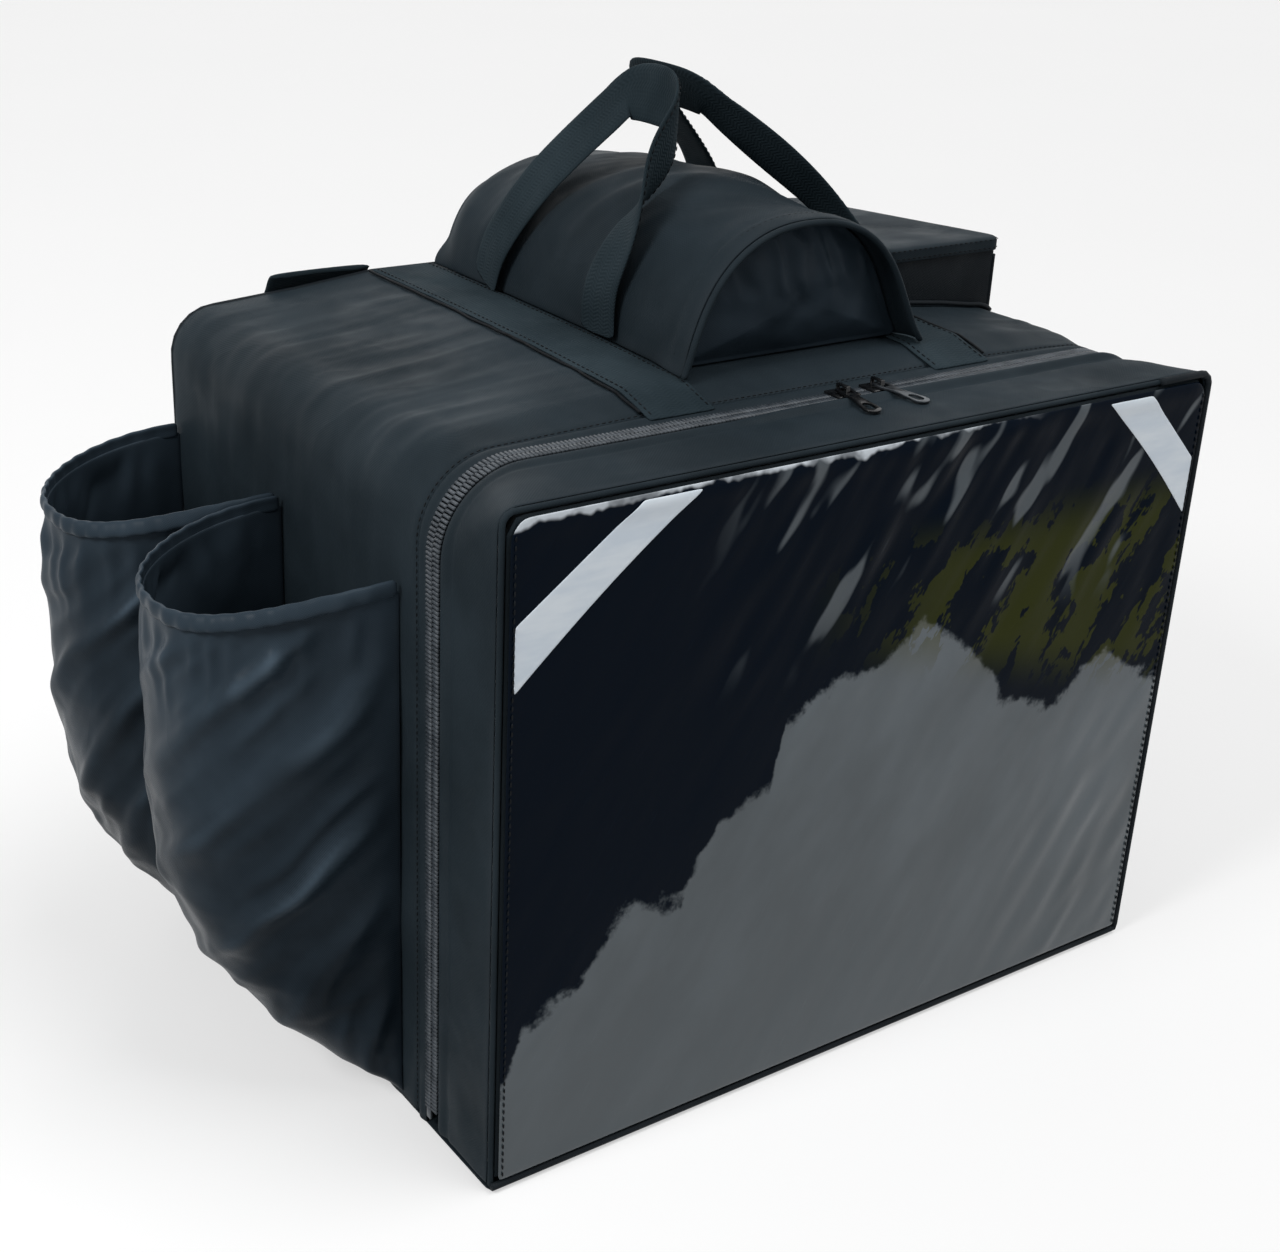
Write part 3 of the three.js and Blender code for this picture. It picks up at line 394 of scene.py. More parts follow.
@dataclass(frozen=True)
class Stuffing:
    """Swells a closed form with its filling, by a short cloth simulation."""

    voxel: float = 6.0
    pressure: float = 4.0
    cap: float = 6.0
    frames: int = 20

    def swell(self, bm: bmesh.types.BMesh) -> bmesh.types.BMesh:
        """Remeshes the form evenly and lets it swell.

        Args:
            bm: The closed form in metres, which is freed here.

        Returns:
            The swollen form in metres.
        """
        scene = bpy.context.scene
        rough = bpy.data.meshes.new("filling_rough")
        bm.to_mesh(rough)
        bm.free()
        pad = shown("filling", rough)
        even = pad.modifiers.new("even", "REMESH")
        even.mode = "VOXEL"
        even.voxel_size = self.voxel * MM
        start = self.settled(pad)
        pad.modifiers.clear()
        pad.data = start
        result = bmesh.new()
        result.from_mesh(start)
        cloth = pad.modifiers.new("cloth", "CLOTH")
        cloth.settings.quality = 6
        cloth.settings.mass = 0.2
        cloth.settings.use_pressure = True
        cloth.settings.uniform_pressure_force = self.pressure
        cloth.settings.effector_weights.gravity = 0.0
        cloth.point_cache.frame_start, cloth.point_cache.frame_end = 1, self.frames
        for step in range(1, self.frames + 1):
            scene.frame_set(step)
        swollen = self.settled(pad)
        for vert, moved in zip(result.verts, swollen.vertices):
            move = moved.co - vert.co
            vert.co += move * min(1.0, self.cap * MM / max(move.length, 1e-9))
        bpy.data.meshes.remove(swollen)
        scene.frame_set(1)
        bpy.data.objects.remove(pad)
        for mesh in (start, rough):
            bpy.data.meshes.remove(mesh)
        bmesh.ops.smooth_vert(
            result, verts=result.verts, factor=0.5, use_axis_x=True, use_axis_y=True, use_axis_z=True
        )
        return result

    @staticmethod
    def settled(pad: bpy.types.Object) -> bpy.types.Mesh:
        """A copy of the pad's mesh with its modifiers applied."""
        graph = bpy.context.evaluated_depsgraph_get()
        return bpy.data.meshes.new_from_object(pad.evaluated_get(graph))


def shown(name: str, data: bpy.types.ID) -> bpy.types.Object:
    """A new object in the scene."""
    obj = bpy.data.objects.new(name, data)
    bpy.context.scene.collection.objects.link(obj)
    return obj


def rounded_copy(node: str, name: str, body: str, slot: str, look: Finish, width: float) -> None:
    """Stands a copy of a rigid CAD node, with its edges rounded, in the node's place.

    Args:
        node: The CAD node.
        name: Name of the new piece.
        body: Body that it rides on.
        slot: Material slot of the record; it is not used.
        look: Finish of the piece.
        width: Width of the rounding in millimetres.
    """
    bm = bmesh.new()
    bm.from_mesh(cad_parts[node].data)
    merge(bm, 0.01)
    bmesh.ops.dissolve_limit(bm, angle_limit=math.radians(2), verts=bm.verts, edges=bm.edges)
    sharp = [e for e in bm.edges if len(e.link_faces) == 2 and e.calc_face_angle(0) > math.radians(35)]
    rounding = {"offset": width * MM, "segments": 2, "profile": 0.5, "material": -1, "clamp_overlap": True}
    bmesh.ops.bevel(bm, geom=sharp, affect="EDGES", **rounding)
    bmesh.ops.recalc_face_normals(bm, faces=bm.faces)
    Cloth(name, body, slot, look).finish(bm, rounds=0, replaces=[node])


def sew(
    name: str,
    body: str,
    slot: str,
    line: Sequence[Vector],
    faces: Sequence[Vector],
    pitch: float,
    thread: float,
) -> None:
    """Lays a run of sewn stitches on a surface.

    Args:
        name: Piece name.
        body: Body that it rides on.
        slot: Material slot of the record; it is not used.
        line: Line of the seam in millimetres.
        faces: The surface's outward direction at each point.
        pitch: Length of one stitch and its gap, in millimetres.
        thread: Thread radius in millimetres.
    """
    maker = Cloth(name, body, slot, Finish.THREAD)
    maker.finish(maker.stitches(line, faces, pitch, thread), 0, 0)


def pipe(
    name: str,
    body: str,
    slot: str,
    path: Sequence[Vector],
    radius: float,
    sides: int = 8,
    squash: float = 1.0,
    look: Finish | None = None,
    replaces: Iterable[str] = (),
) -> None:
    """Lays a round cord or piping along a path.

    Args:
        name: Piece name.
        body: Body that it rides on.
        slot: Material slot of the record; it is not used.
        path: Centre line in millimetres.
        radius: Cord radius in millimetres.
        sides: Cells round it.
        squash: Its height as a share of its width.
        look: Its finish, or None for the binding tape.
        replaces: CAD nodes that it stands for.
    """
    maker = Cloth(name, body, slot, look or Finish.TRIM)
    maker.finish(maker.cord(path, radius, sides, squash), 0, 0, replaces)


# ---------------------------------------------------------------- finishes


class NodeBook:
    """Adds nodes to one tree and wires them."""

    def __init__(self, tree: bpy.types.NodeTree) -> None:
        """Keeps the tree that it writes to."""
        self.tree = tree

    def add(self, kind: str, **settings: object) -> bpy.types.Node:
        """A new node with its settings."""
        node = self.tree.nodes.new(kind)
        for key, value in settings.items():
            setattr(node, key, value)
        return node

    def feed(self, socket: bpy.types.NodeSocket, value: object) -> None:
        """Sets a socket's value or links it to another socket."""
        if isinstance(value, bpy.types.NodeSocket):
            self.tree.links.new(value, socket)
        elif value is not None:
            socket.default_value = value

    def math(self, operation: str, a: object, b: object = None, c: object = None) -> bpy.types.NodeSocket:
        """A sum of one to three values."""
        node = self.add("ShaderNodeMath", operation=operation)
        for socket, value in zip(node.inputs, (a, b, c)):
            self.feed(socket, value)
        return node.outputs[0]

    def times(self, a: object, b: object) -> bpy.types.NodeSocket:
        """The product of two values."""
        return self.math("MULTIPLY", a, b)

    def between(
        self, value: object, low: float, high: float, to_low: float = 0.0, to_high: float = 1.0
    ) -> bpy.types.NodeSocket:
        """A soft step of a value from low to high."""
        node = self.add("ShaderNodeMapRange", interpolation_type="SMOOTHSTEP", clamp=True)
        for socket, fed in zip(node.inputs, (value, low, high, to_low, to_high)):
            self.feed(socket, fed)
        return node.outputs[0]

    def parts(self, vector: object) -> list[bpy.types.NodeSocket]:
        """The three parts of a vector."""
        node = self.add("ShaderNodeSeparateXYZ")
        self.feed(node.inputs[0], vector)
        return list(node.outputs)

    def tint(self, share: object, a: object, b: object) -> bpy.types.NodeSocket:
        """A mix of two colours."""
        node = self.add("ShaderNodeMix", data_type="RGBA")
        self.feed(node.inputs["Factor"], share)
        self.feed(node.inputs[6], a)
        self.feed(node.inputs[7], b)
        return node.outputs[2]

    def grain(self, vector: object, scale: float, detail: float = 3.0, rough: float = 0.5) -> object:
        """Cloudy noise at a scale."""
        node = self.add("ShaderNodeTexNoise")
        self.feed(node.inputs["Vector"], vector)
        settle(node, {"Scale": scale, "Detail": detail, "Roughness": rough})
        return node.outputs["Fac"]

    def stretched(self, vector: object, scale: Sequence[float], turn: float = 0.0) -> object:
        """A vector turned about the depth axis, and then scaled."""
        turned = self.add("ShaderNodeMapping")
        self.feed(turned.inputs["Vector"], vector)
        turned.inputs["Rotation"].default_value = (0.0, turn, 0.0)
        node = self.add("ShaderNodeMapping")
        self.feed(node.inputs["Vector"], turned.outputs[0])
        node.inputs["Scale"].default_value = scale
        return node.outputs[0]

    def upright(self, vector: object) -> object:
        """A vector laid over so that its height becomes its second part."""
        node = self.add("ShaderNodeMapping")
        self.feed(node.inputs["Vector"], vector)
        node.inputs["Rotation"].default_value = (-math.pi / 2, 0.0, 0.0)
        return node.outputs[0]

    def steps(self, value: object, stops: Sequence[tuple[float, float]]) -> object:
        """A value read off a line through the stops, each a place from 0 to 1 and its value."""
        node = self.add("ShaderNodeValToRGB")
        self.feed(node.inputs[0], value)
        ramp = node.color_ramp
        ramp.interpolation = "LINEAR"
        while len(ramp.elements) < len(stops):
            ramp.elements.new(0.5)
        for element, (place, level) in zip(ramp.elements, stops):
            element.position = place
        for element, (place, level) in zip(ramp.elements, stops):
            element.color = (level, level, level, 1.0)
        return node.outputs[0]

    def bump(self, height: object, depth: float, strength: float, normal: object = None) -> object:
        """A bump of a depth in millimetres, on top of another if given."""
        node = self.add("ShaderNodeBump")
        settle(node, {"Strength": strength, "Distance": depth * MM})
        self.feed(node.inputs["Height"], height)
        self.feed(node.inputs["Normal"], normal)
        return node.outputs[0]


def colour(red: int, green: int, blue: int) -> tuple[float, float, float, float]:
    """A screen colour from 0 to 255 as the linear colour that shaders take."""
    line = [(c / 255) / 12.92 if c <= 10 else ((c / 255 + 0.055) / 1.055) ** 2.4 for c in (red, green, blue)]
    return (line[0], line[1], line[2], 1.0)


def new_material(name: str) -> tuple[bpy.types.Material, NodeBook, bpy.types.Node]:
    """A new material, the book that writes to it, and its shader."""
    material = bpy.data.materials.new(name)
    material.use_nodes = True
    return material, NodeBook(material.node_tree), material.node_tree.nodes["Principled BSDF"]


def settle(shader: bpy.types.Node, values: dict[str, float]) -> None:
    """Sets constant values on a shader's own sockets."""
    for socket, value in values.items():
        shader.inputs[socket].default_value = value


class Groups:
    """Effects that several finishes share, each built once."""

    made: dict[str, bpy.types.NodeTree] = {}
    threads: tuple[tuple[str, str], ...] = (("Vector", "NodeSocketVector"), ("Pitch", "NodeSocketFloat"))

    @classmethod
    def start(cls, name: str, inputs: Sequence[tuple[str, str]], outputs: Sequence[str]) -> NodeBook | None:
        """Opens a new shader group, or None where it is made already.

        Args:
            name: The effect's name.
            inputs: Name and socket kind of each input.
            outputs: Names of the value outputs.

        Returns:
            A book that writes to the new group, or None.
        """
        if name in cls.made:
            return None
        tree = bpy.data.node_groups.new(name, "ShaderNodeTree")
        for label, kind in inputs:
            tree.interface.new_socket(name=label, in_out="INPUT", socket_type=kind)
        for label in outputs:
            tree.interface.new_socket(name=label, in_out="OUTPUT", socket_type="NodeSocketFloat")
        cls.made[name] = tree
        return NodeBook(tree)

    @classmethod
    def plain_weave(cls) -> bpy.types.NodeTree:
        """Threads that cross over and under, by a vector in metres and a pitch in metres."""
        book = cls.start("plain_weave", cls.threads, ["Height"])
        if book:
            given, out = book.add("NodeGroupInput"), book.add("NodeGroupOutput")
            parts = book.parts(given.outputs["Vector"])
            waves = []
            for axis in (0, 1):
                turns = book.math("DIVIDE", parts[axis], given.outputs["Pitch"])
                waves.append(book.math("SINE", book.times(turns, math.pi)))
            crossed = book.times(waves[0], waves[1])
            book.feed(out.inputs[0], book.math("MULTIPLY_ADD", crossed, 0.5, 0.5))
        return cls.made["plain_weave"]

    @classmethod
    def webbing_rib(cls) -> bpy.types.NodeTree:
        """Slanted ribs of woven webbing, by a vector in metres and a pitch in metres."""
        book = cls.start("webbing_rib", cls.threads, ["Height"])
        if book:
            given, out = book.add("NodeGroupInput"), book.add("NodeGroupOutput")
            parts = book.parts(given.outputs["Vector"])
            across = book.math("DIVIDE", parts[0], given.outputs["Pitch"])
            along = book.math("DIVIDE", parts[1], given.outputs["Pitch"])
            zigzag = book.math("PINGPONG", across, 2.0)
            slant = book.math("ADD", along, book.times(zigzag, 0.5))
            ribs = book.math("SINE", book.times(slant, 2 * math.pi))
            yarns = book.math("SINE", book.times(across, 2 * math.pi))
            total = book.math("MULTIPLY_ADD", yarns, 0.35, ribs)
            book.feed(out.inputs[0], book.math("MULTIPLY_ADD", total, 0.35, 0.5))
        return cls.made["webbing_rib"]

    @classmethod
    def handled_cloth(cls) -> bpy.types.NodeTree:
        """Patchy colour, patchy shine and small creases of cloth that has been handled."""
        book = cls.start("handled_cloth", [("Vector", "NodeSocketVector")], ["Tint", "Shine", "Crease"])
        if book:
            given, out = book.add("NodeGroupInput"), book.add("NodeGroupOutput")
            vector = given.outputs["Vector"]
            book.feed(out.inputs["Tint"], book.between(book.grain(vector, 9.0, 4.0, 0.6), 0.3, 0.72))
            book.feed(out.inputs["Shine"], book.between(book.grain(vector, 26.0, 3.0, 0.55), 0.3, 0.7))
            folded = book.stretched(vector, (1.0, 1.0, 0.45), 0.35)
            sharp = book.math("ABSOLUTE", book.math("SUBTRACT", book.grain(folded, 16.0, 2.0, 0.45), 0.5))
            book.feed(out.inputs["Crease"], book.times(book.math("SUBTRACT", 0.25, sharp), 4.0))
        return cls.made["handled_cloth"]


class Weave(Enum):
    """Which threads a cloth shows."""

    PLAIN = "plain_weave"
    RIB = "webbing_rib"


@dataclass(frozen=True)
class ClothFinish:
    """A woven cloth with its colour, shine, threads and small creases."""

    name: str
    dark: tuple[int, int, int]
    light: tuple[int, int, int]
    roughness: tuple[float, float]
    sheen: float
    specular: float
    weave: Weave
    pitch: float
    weave_depth: float
    crease_depth: float
    wear: tuple[int, int, int] = (58, 64, 69)
    wear_share: float = 0.25
    by_surface: bool = True
    patchy: float = 1.0

    def build(self) -> bpy.types.Material:
        """Makes the material."""
        material, book, shader = new_material(self.name)
        where = book.add("ShaderNodeTexCoord")
        handled = book.add("ShaderNodeGroup", node_tree=Groups.handled_cloth())
        book.feed(handled.inputs["Vector"], where.outputs["Object"])
        kind = Groups.plain_weave() if self.weave is Weave.PLAIN else Groups.webbing_rib()
        threads = book.add("ShaderNodeGroup", node_tree=kind)
        laid = where.outputs["UV"] if self.by_surface else book.upright(where.outputs["Object"])
        book.feed(threads.inputs["Vector"], laid)
        threads.inputs["Pitch"].default_value = self.pitch * MM
        border = book.add("ShaderNodeAttribute", attribute_name="edge")
        worn = book.times(border.outputs["Fac"], handled.outputs["Shine"])
        # Crests of folds are painted lighter, a painted highlight, and their valleys darker, a painted
        # shade.
        crest = book.add("ShaderNodeAttribute", attribute_name="crest").outputs["Fac"]
        patches = book.math("MULTIPLY_ADD", handled.outputs["Tint"], self.patchy, 0.5 - 0.5 * self.patchy)
        tone = book.math("ADD", patches, crest)
        base = book.tint(tone, colour(*self.dark), colour(*self.light))
        shaded = book.tint(book.times(threads.outputs[0], 0.3), base, colour(*self.light))
        aged = book.tint(book.times(worn, self.wear_share), shaded, colour(*self.wear))
        book.feed(shader.inputs["Base Color"], aged)
        book.feed(
            shader.inputs["Roughness"], book.between(handled.outputs["Shine"], 0.0, 1.0, *self.roughness)
        )
        creased = book.bump(handled.outputs["Crease"], self.crease_depth, 0.7)
        book.feed(shader.inputs["Normal"], book.bump(threads.outputs[0], self.weave_depth, 0.6, creased))
        settle(shader, {"Sheen Weight": self.sheen, "Sheen Roughness": 0.45})
        settle(shader, {"Specular IOR Level": self.specular})
        return material


@dataclass(frozen=True)
class WindowFinish:
    """Clear vinyl over black cloth: deep gloss, small scratches, painted reflections of the ground and of
    trees, pale painted streaks, and a painted highlight along its top edge.
    """

    name: str = "clear_vinyl"
    deep: tuple[int, int, int] = (0, 11, 25)
    # Colours of the painted reflections: the ground, paler ground and trees, and the glare of the painted
    # highlight along the top.
    ground_reflection: tuple[int, int, int] = (64, 74, 80)
    pale_ground_reflection: tuple[int, int, int] = (88, 98, 105)
    tree_reflection: tuple[int, int, int] = (56, 60, 20)
    glare: tuple[int, int, int] = (196, 203, 210)
    slant: float = -0.576
    # Shaders measure in metres, so the window's size and every height below are in metres too.
    width: float = 0.45
    height: float = 0.36
    # Left to right, the height of the painted ground reflection's upper edge, both as shares of the window.
    ground_reflection_line: tuple[tuple[float, float], ...] = (
        (0.0, 0.15),
        (0.018, 0.19),
        (0.036, 0.258),
        (0.109, 0.294),
        (0.144, 0.392),
        (0.238, 0.392),
        (0.28, 0.472),
        (0.353, 0.53),
        (0.367, 0.628),
        (0.484, 0.675),
        (0.56, 0.705),
        (0.62, 0.66),
        (0.7, 0.56),
        (0.79, 0.5),
        (0.88, 0.57),
        (0.93, 0.53),
        (1.0, 0.5),
    )

    def build(self) -> bpy.types.Material:
        """Makes the material."""
        material, book, shader = new_material(self.name)
        where = book.add("ShaderNodeTexCoord").outputs["Object"]
        x, _, z = book.parts(where)
        ragged = book.math("SUBTRACT", book.grain(where, 26.0, 6.0, 0.66), 0.5)
        across = book.math("MULTIPLY_ADD", x, 1 / self.width, 0.5)
        line = book.times(book.steps(across, self.ground_reflection_line), self.height)
        under = book.math("MULTIPLY_ADD", ragged, 0.055, book.math("SUBTRACT", line, z))
        # Painted reflection of the ground: below a ragged line the vinyl is painted grey.
        ground_reflection_mask = book.between(under, -0.002, 0.006)
        slanted = book.stretched(where, (48.0, 1.0, 12.0), self.slant)
        strokes = book.grain(slanted, 1.0, 2.0, 0.5)
        upper = book.between(book.math("MULTIPLY_ADD", x, 0.28, z), 0.225, 0.26)
        middle = book.between(x, -0.06, 0.05)
        open_dark = book.math("SUBTRACT", 1.0, ground_reflection_mask)
        patchy = book.grain(book.stretched(where, (30.0, 1.0, 13.0), self.slant), 1.0, 5.0, 0.66)
        # Painted reflection of trees: olive patches in the upper right, kept below the top edge.
        tree_reflection_mask = book.between(patchy, 0.5, 0.515)
        tree_reflection_mask = book.times(tree_reflection_mask, book.times(upper, middle))
        tree_reflection_mask = book.times(tree_reflection_mask, book.between(z, 0.315, 0.28))
        # Pale slanted streaks over the dark upper left, a painted reflection.
        streaks = book.times(book.between(strokes, 0.58, 0.64), book.between(z, 0.235, 0.28))
        streaks = book.times(streaks, book.between(x, -0.125, -0.06))
        # Painted highlight along the rolled top edge, broken into pieces, and a thin one at the top left
        # corner.
        wavy = book.grain(book.stretched(where, (1.0, 1.0, 0.3)), 34.0, 3.0, 0.6)
        wavy_z = book.math("MULTIPLY_ADD", wavy, 0.022, z)
        fading = book.between(x, -0.225, 0.09, 0.0, 0.005)
        rim = book.between(book.math("SUBTRACT", wavy_z, fading), 0.3615, 0.3635)
        rim = book.times(rim, book.between(x, 0.1, 0.04))
        rim = book.times(rim, book.between(book.grain(where, 55.0, 3.0, 0.6), 0.36, 0.58, 0.35, 1.0))
        corner = book.between(book.math("SUBTRACT", x, z), -0.567, -0.572)
        rim = book.math("MAXIMUM", rim, book.times(corner, book.between(book.grain(where, 90.0), 0.4, 0.55)))
        # Paler patches in the painted ground reflection, fainter near the bottom.
        soft = book.grain(book.stretched(where, (10.0, 1.0, 5.0), self.slant), 1.0, 4.0, 0.6)
        pale = book.times(book.between(soft, 0.35, 0.68), book.between(z, -0.02, 0.16, 0.25, 1.0))
        ground_reflection_colour = book.tint(pale, colour(*self.ground_reflection), colour(*self.pale_ground_reflection))
        base = book.tint(ground_reflection_mask, colour(*self.deep), ground_reflection_colour)
        base = book.tint(book.times(tree_reflection_mask, 0.85), base, colour(*self.tree_reflection))
        lit = book.times(book.times(streaks, open_dark), 0.6)
        base = book.tint(lit, base, colour(*self.pale_ground_reflection))
        book.feed(shader.inputs["Base Color"], book.tint(rim, base, colour(*self.glare)))
        scratches = book.grain(book.stretched(where, (90, 1, 16), self.slant), 4.0, 2.0)
        scratches = book.between(scratches, 0.62, 0.75)
        book.feed(shader.inputs["Roughness"], book.math("MULTIPLY_ADD", scratches, 0.2, 0.12))
        glossy = book.math("MAXIMUM", ground_reflection_mask, book.times(streaks, 0.7))
        book.feed(shader.inputs["Coat Weight"], book.between(glossy, 0.0, 1.0, 0.05, 0.85))
        waves = book.grain(book.stretched(where, (9.0, 1.0, 3.5), self.slant), 2.2, 2.0, 0.45)
        fine = book.grain(book.stretched(where, (30.0, 1.0, 9.0), self.slant), 2.0, 3.0, 0.5)
        broad_bump = book.bump(waves, 5.0, 0.6)
        book.feed(shader.inputs["Normal"], book.bump(fine, 1.2, 0.5, broad_bump))
        settle(shader, {"Coat Roughness": 0.04, "Specular IOR Level": 0.02})
        return material


@dataclass(frozen=True)
class SolidFinish:
    """Metal, moulded plastic, foil, foam or reflective tape, by its grain."""

    name: str
    dark: tuple[int, int, int]
    light: tuple[int, int, int]
    roughness: tuple[float, float]
    metallic: float = 0.0
    grain: float = 180.0
    depth: float = 0.15
    coat: float = 0.0
    specular: float = 0.35
    stretch: tuple[float, float, float] = (1.0, 1.0, 1.0)

    def build(self) -> bpy.types.Material:
        """Makes the material."""
        material, book, shader = new_material(self.name)
        where = book.add("ShaderNodeTexCoord").outputs["Object"]
        drawn = book.stretched(where, self.stretch)
        patchy = book.between(book.grain(drawn, self.grain * 0.25, 3.0, 0.6), 0.3, 0.7)
        fine = book.grain(drawn, self.grain, 3.0, 0.6)
        book.feed(shader.inputs["Base Color"], book.tint(patchy, colour(*self.dark), colour(*self.light)))
        book.feed(shader.inputs["Roughness"], book.between(fine, 0.25, 0.75, *self.roughness))
        book.feed(shader.inputs["Normal"], book.bump(fine, self.depth, 0.5))
        settle(shader, {"Metallic": self.metallic, "Coat Weight": self.coat})
        settle(shader, {"Coat Roughness": 0.08, "Specular IOR Level": self.specular})
        return material


class Finish(Enum):
    """Every finish on the bag."""

    NYLON = ClothFinish(
        "black_nylon", (23, 31, 36), (38, 47, 53), (0.55, 0.7), 0.0, 0.06, Weave.PLAIN, 0.9, 0.14, 1.3
    )
    # Its light colour shows on the painted highlights of fold crests, and its dark one in the painted shade
    # of their valleys.
    SATIN = ClothFinish(
        "lining_satin", (1, 8, 15), (72, 86, 98), (0.28, 0.4), 0.0, 0.045, Weave.PLAIN, 0.6, 0.06, 1.0,
        patchy=0.3,
    )
    WEBBING = ClothFinish(
        "ribbed_webbing", (22, 32, 37), (45, 56, 62), (0.7, 0.85), 0.0, 0.05, Weave.RIB, 2.1, 0.35, 0.2,
        wear=(44, 54, 60),
    )
    TRIM = ClothFinish(
        "binding_tape", (14, 19, 23), (24, 30, 35), (0.55, 0.7), 0.0, 0.1, Weave.RIB, 1.1, 0.2, 0.2
    )
    TAPE = ClothFinish(
        "zipper_tape", (10, 14, 17), (18, 23, 27), (0.6, 0.75), 0.0, 0.05, Weave.RIB, 1.0, 0.2, 0.1
    )
    MESH = ClothFinish(
        "spacer_mesh", (16, 21, 25), (32, 38, 43), (0.7, 0.85), 0.03, 0.1, Weave.PLAIN, 2.4, 0.9, 0.4,
        by_surface=False,
    )
    THREAD = SolidFinish(
        "black_thread", (8, 10, 12), (20, 24, 28), (0.6, 0.8), 0.0, 900.0, 0.05, specular=0.1
    )
    FOIL = SolidFinish("foil_lining", (172, 176, 180), (196, 199, 202), (0.3, 0.42), 0.6, 60.0, 0.35)
    FOAM = SolidFinish(
        "grey_foam", (66, 69, 72), (86, 89, 92), (0.85, 0.95), 0.0, 420.0, 0.5, specular=0.1
    )
    COIL = SolidFinish(
        "nylon_coil", (50, 56, 62), (76, 82, 88), (0.35, 0.5), 0.0, 500.0, 0.05, specular=0.3
    )
    ENAMEL = SolidFinish("black_enamel", (12, 13, 15), (24, 26, 28), (0.25, 0.4), 0.3, 260.0, 0.05, 0.3)
    STEEL = SolidFinish("dark_steel", (62, 67, 72), (98, 103, 108), (0.28, 0.42), 0.9, 300.0, 0.06)
    PLASTIC = SolidFinish("moulded_plastic", (18, 20, 22), (30, 32, 34), (0.4, 0.55), 0.0, 700.0, 0.08)
    # Its near-white colour is partly the tape's own pale silver and partly painted reflection, standing in
    # for the light that the tape throws back.
    REFLECTOR = SolidFinish(
        "reflective_tape", (214, 226, 238), (230, 239, 247), (0.3, 0.42), 0.0, 90.0, 0.05, 0.4, 0.5,
        stretch=(1.0, 1.0, 4.0),
    )
    VINYL = WindowFinish()

    def build(self) -> bpy.types.Material:
        """The finish's material, made once."""
        return bpy.data.materials.get(self.value.name) or self.value.build()


# ---------------------------------------------------------------- the bag's own form


@dataclass(frozen=True)
class BagForm:
    """The shared outline of the bag, from which every piece takes its place."""

    half_width: float = 225.0
    height: float = 360.0
    front_y: float = -175.0
    back_y: float = 175.0
    body_front_y: float = -112.0
    wrap_back_y: float = 173.1
    foot: float = 1.9
    zip_radius: float = 42.0
    crown_x: tuple[float, ...] = (-150.04, -103.0, 121.0, 168.04)
    crown_shares: tuple[float, ...] = (0.42, 1.0, 1.0, 0.42)
    station_y: tuple[float, ...] = (-112.0, -82.83, 0.0, 87.5, 175.0)
    radii: tuple[float, ...] = (42.0, 33.6, 30.0, 28.0, 26.0)
    crowns: tuple[float, ...] = (0.0, 8.0, 10.0, 10.0, 9.0)

    def radius(self, y: float) -> float:
        """Radius of the bag's upper corners at a depth."""
        return steps_between(self.radii, self.station_y, y)

    def crown(self, y: float) -> float:
        """Rise of the top panel's middle at a depth."""
        return steps_between(self.crowns, self.station_y, y)

    def top_z(self, x: float, y: float) -> float:
        """Height of the top panel's cloth."""
        radius = self.radius(y)
        reach = self.half_width - radius
        past = abs(x) - reach
        if past > 0:
            return self.height - radius + math.sqrt(max(0.0, radius**2 - past**2))
        places = (-reach, *self.crown_x, reach)
        return self.height + self.crown(y) * steps_between((0.0, *self.crown_shares, 0.0), places, x)

    def outline(
        self, share: float, y: float, foot: float, radius: float | None = None, inset: float = 0.0
    ) -> tuple[Vector, Vector]:
        """A point of the outline over the left side, the top and the right side.

        Args:
            share: Share of the way from the left foot to the right foot.
            y: Depth of the section.
            foot: Height where both sides end.
            radius: Corner radius, or None for the body's own radius with its crown.
            inset: Distance inside the outer cloth.

        Returns:
            The point and its outward direction.
        """
        crowned = radius is None
        bend = (self.radius(y) if crowned else radius) - inset
        half = self.half_width - inset
        top = self.height - inset
        side = top - bend - foot
        arc = math.pi / 2 * bend
        flat = 2 * (half - bend)
        total = 2 * (side + arc) + flat
        mirrored = share > 0.5
        at = (1 - share if mirrored else share) * total
        if at < side:
            x, z, out = -half, foot + at, Vector((-1, 0, 0))
        elif at < side + arc:
            angle = (at - side) / bend
            x, z = -half + bend - bend * math.cos(angle), top - bend + bend * math.sin(angle)
            out = Vector((-math.cos(angle), 0, math.sin(angle)))
        else:
            x, z, out = -half + bend + (at - side - arc), top, Vector((0, 0, 1))
        if mirrored:
            x, out = -x, Vector((-out.x, 0, out.z))
        if crowned and abs(x) < self.half_width - self.radius(y):
            z = self.top_z(x, y) - inset
        return Vector((x, y, z)), out

    def length(self, foot: float, radius: float) -> float:
        """Length of the outline from foot to foot."""
        return 2 * (self.height - radius - foot) + math.pi * radius + 2 * (self.half_width - radius)


FORM = BagForm()


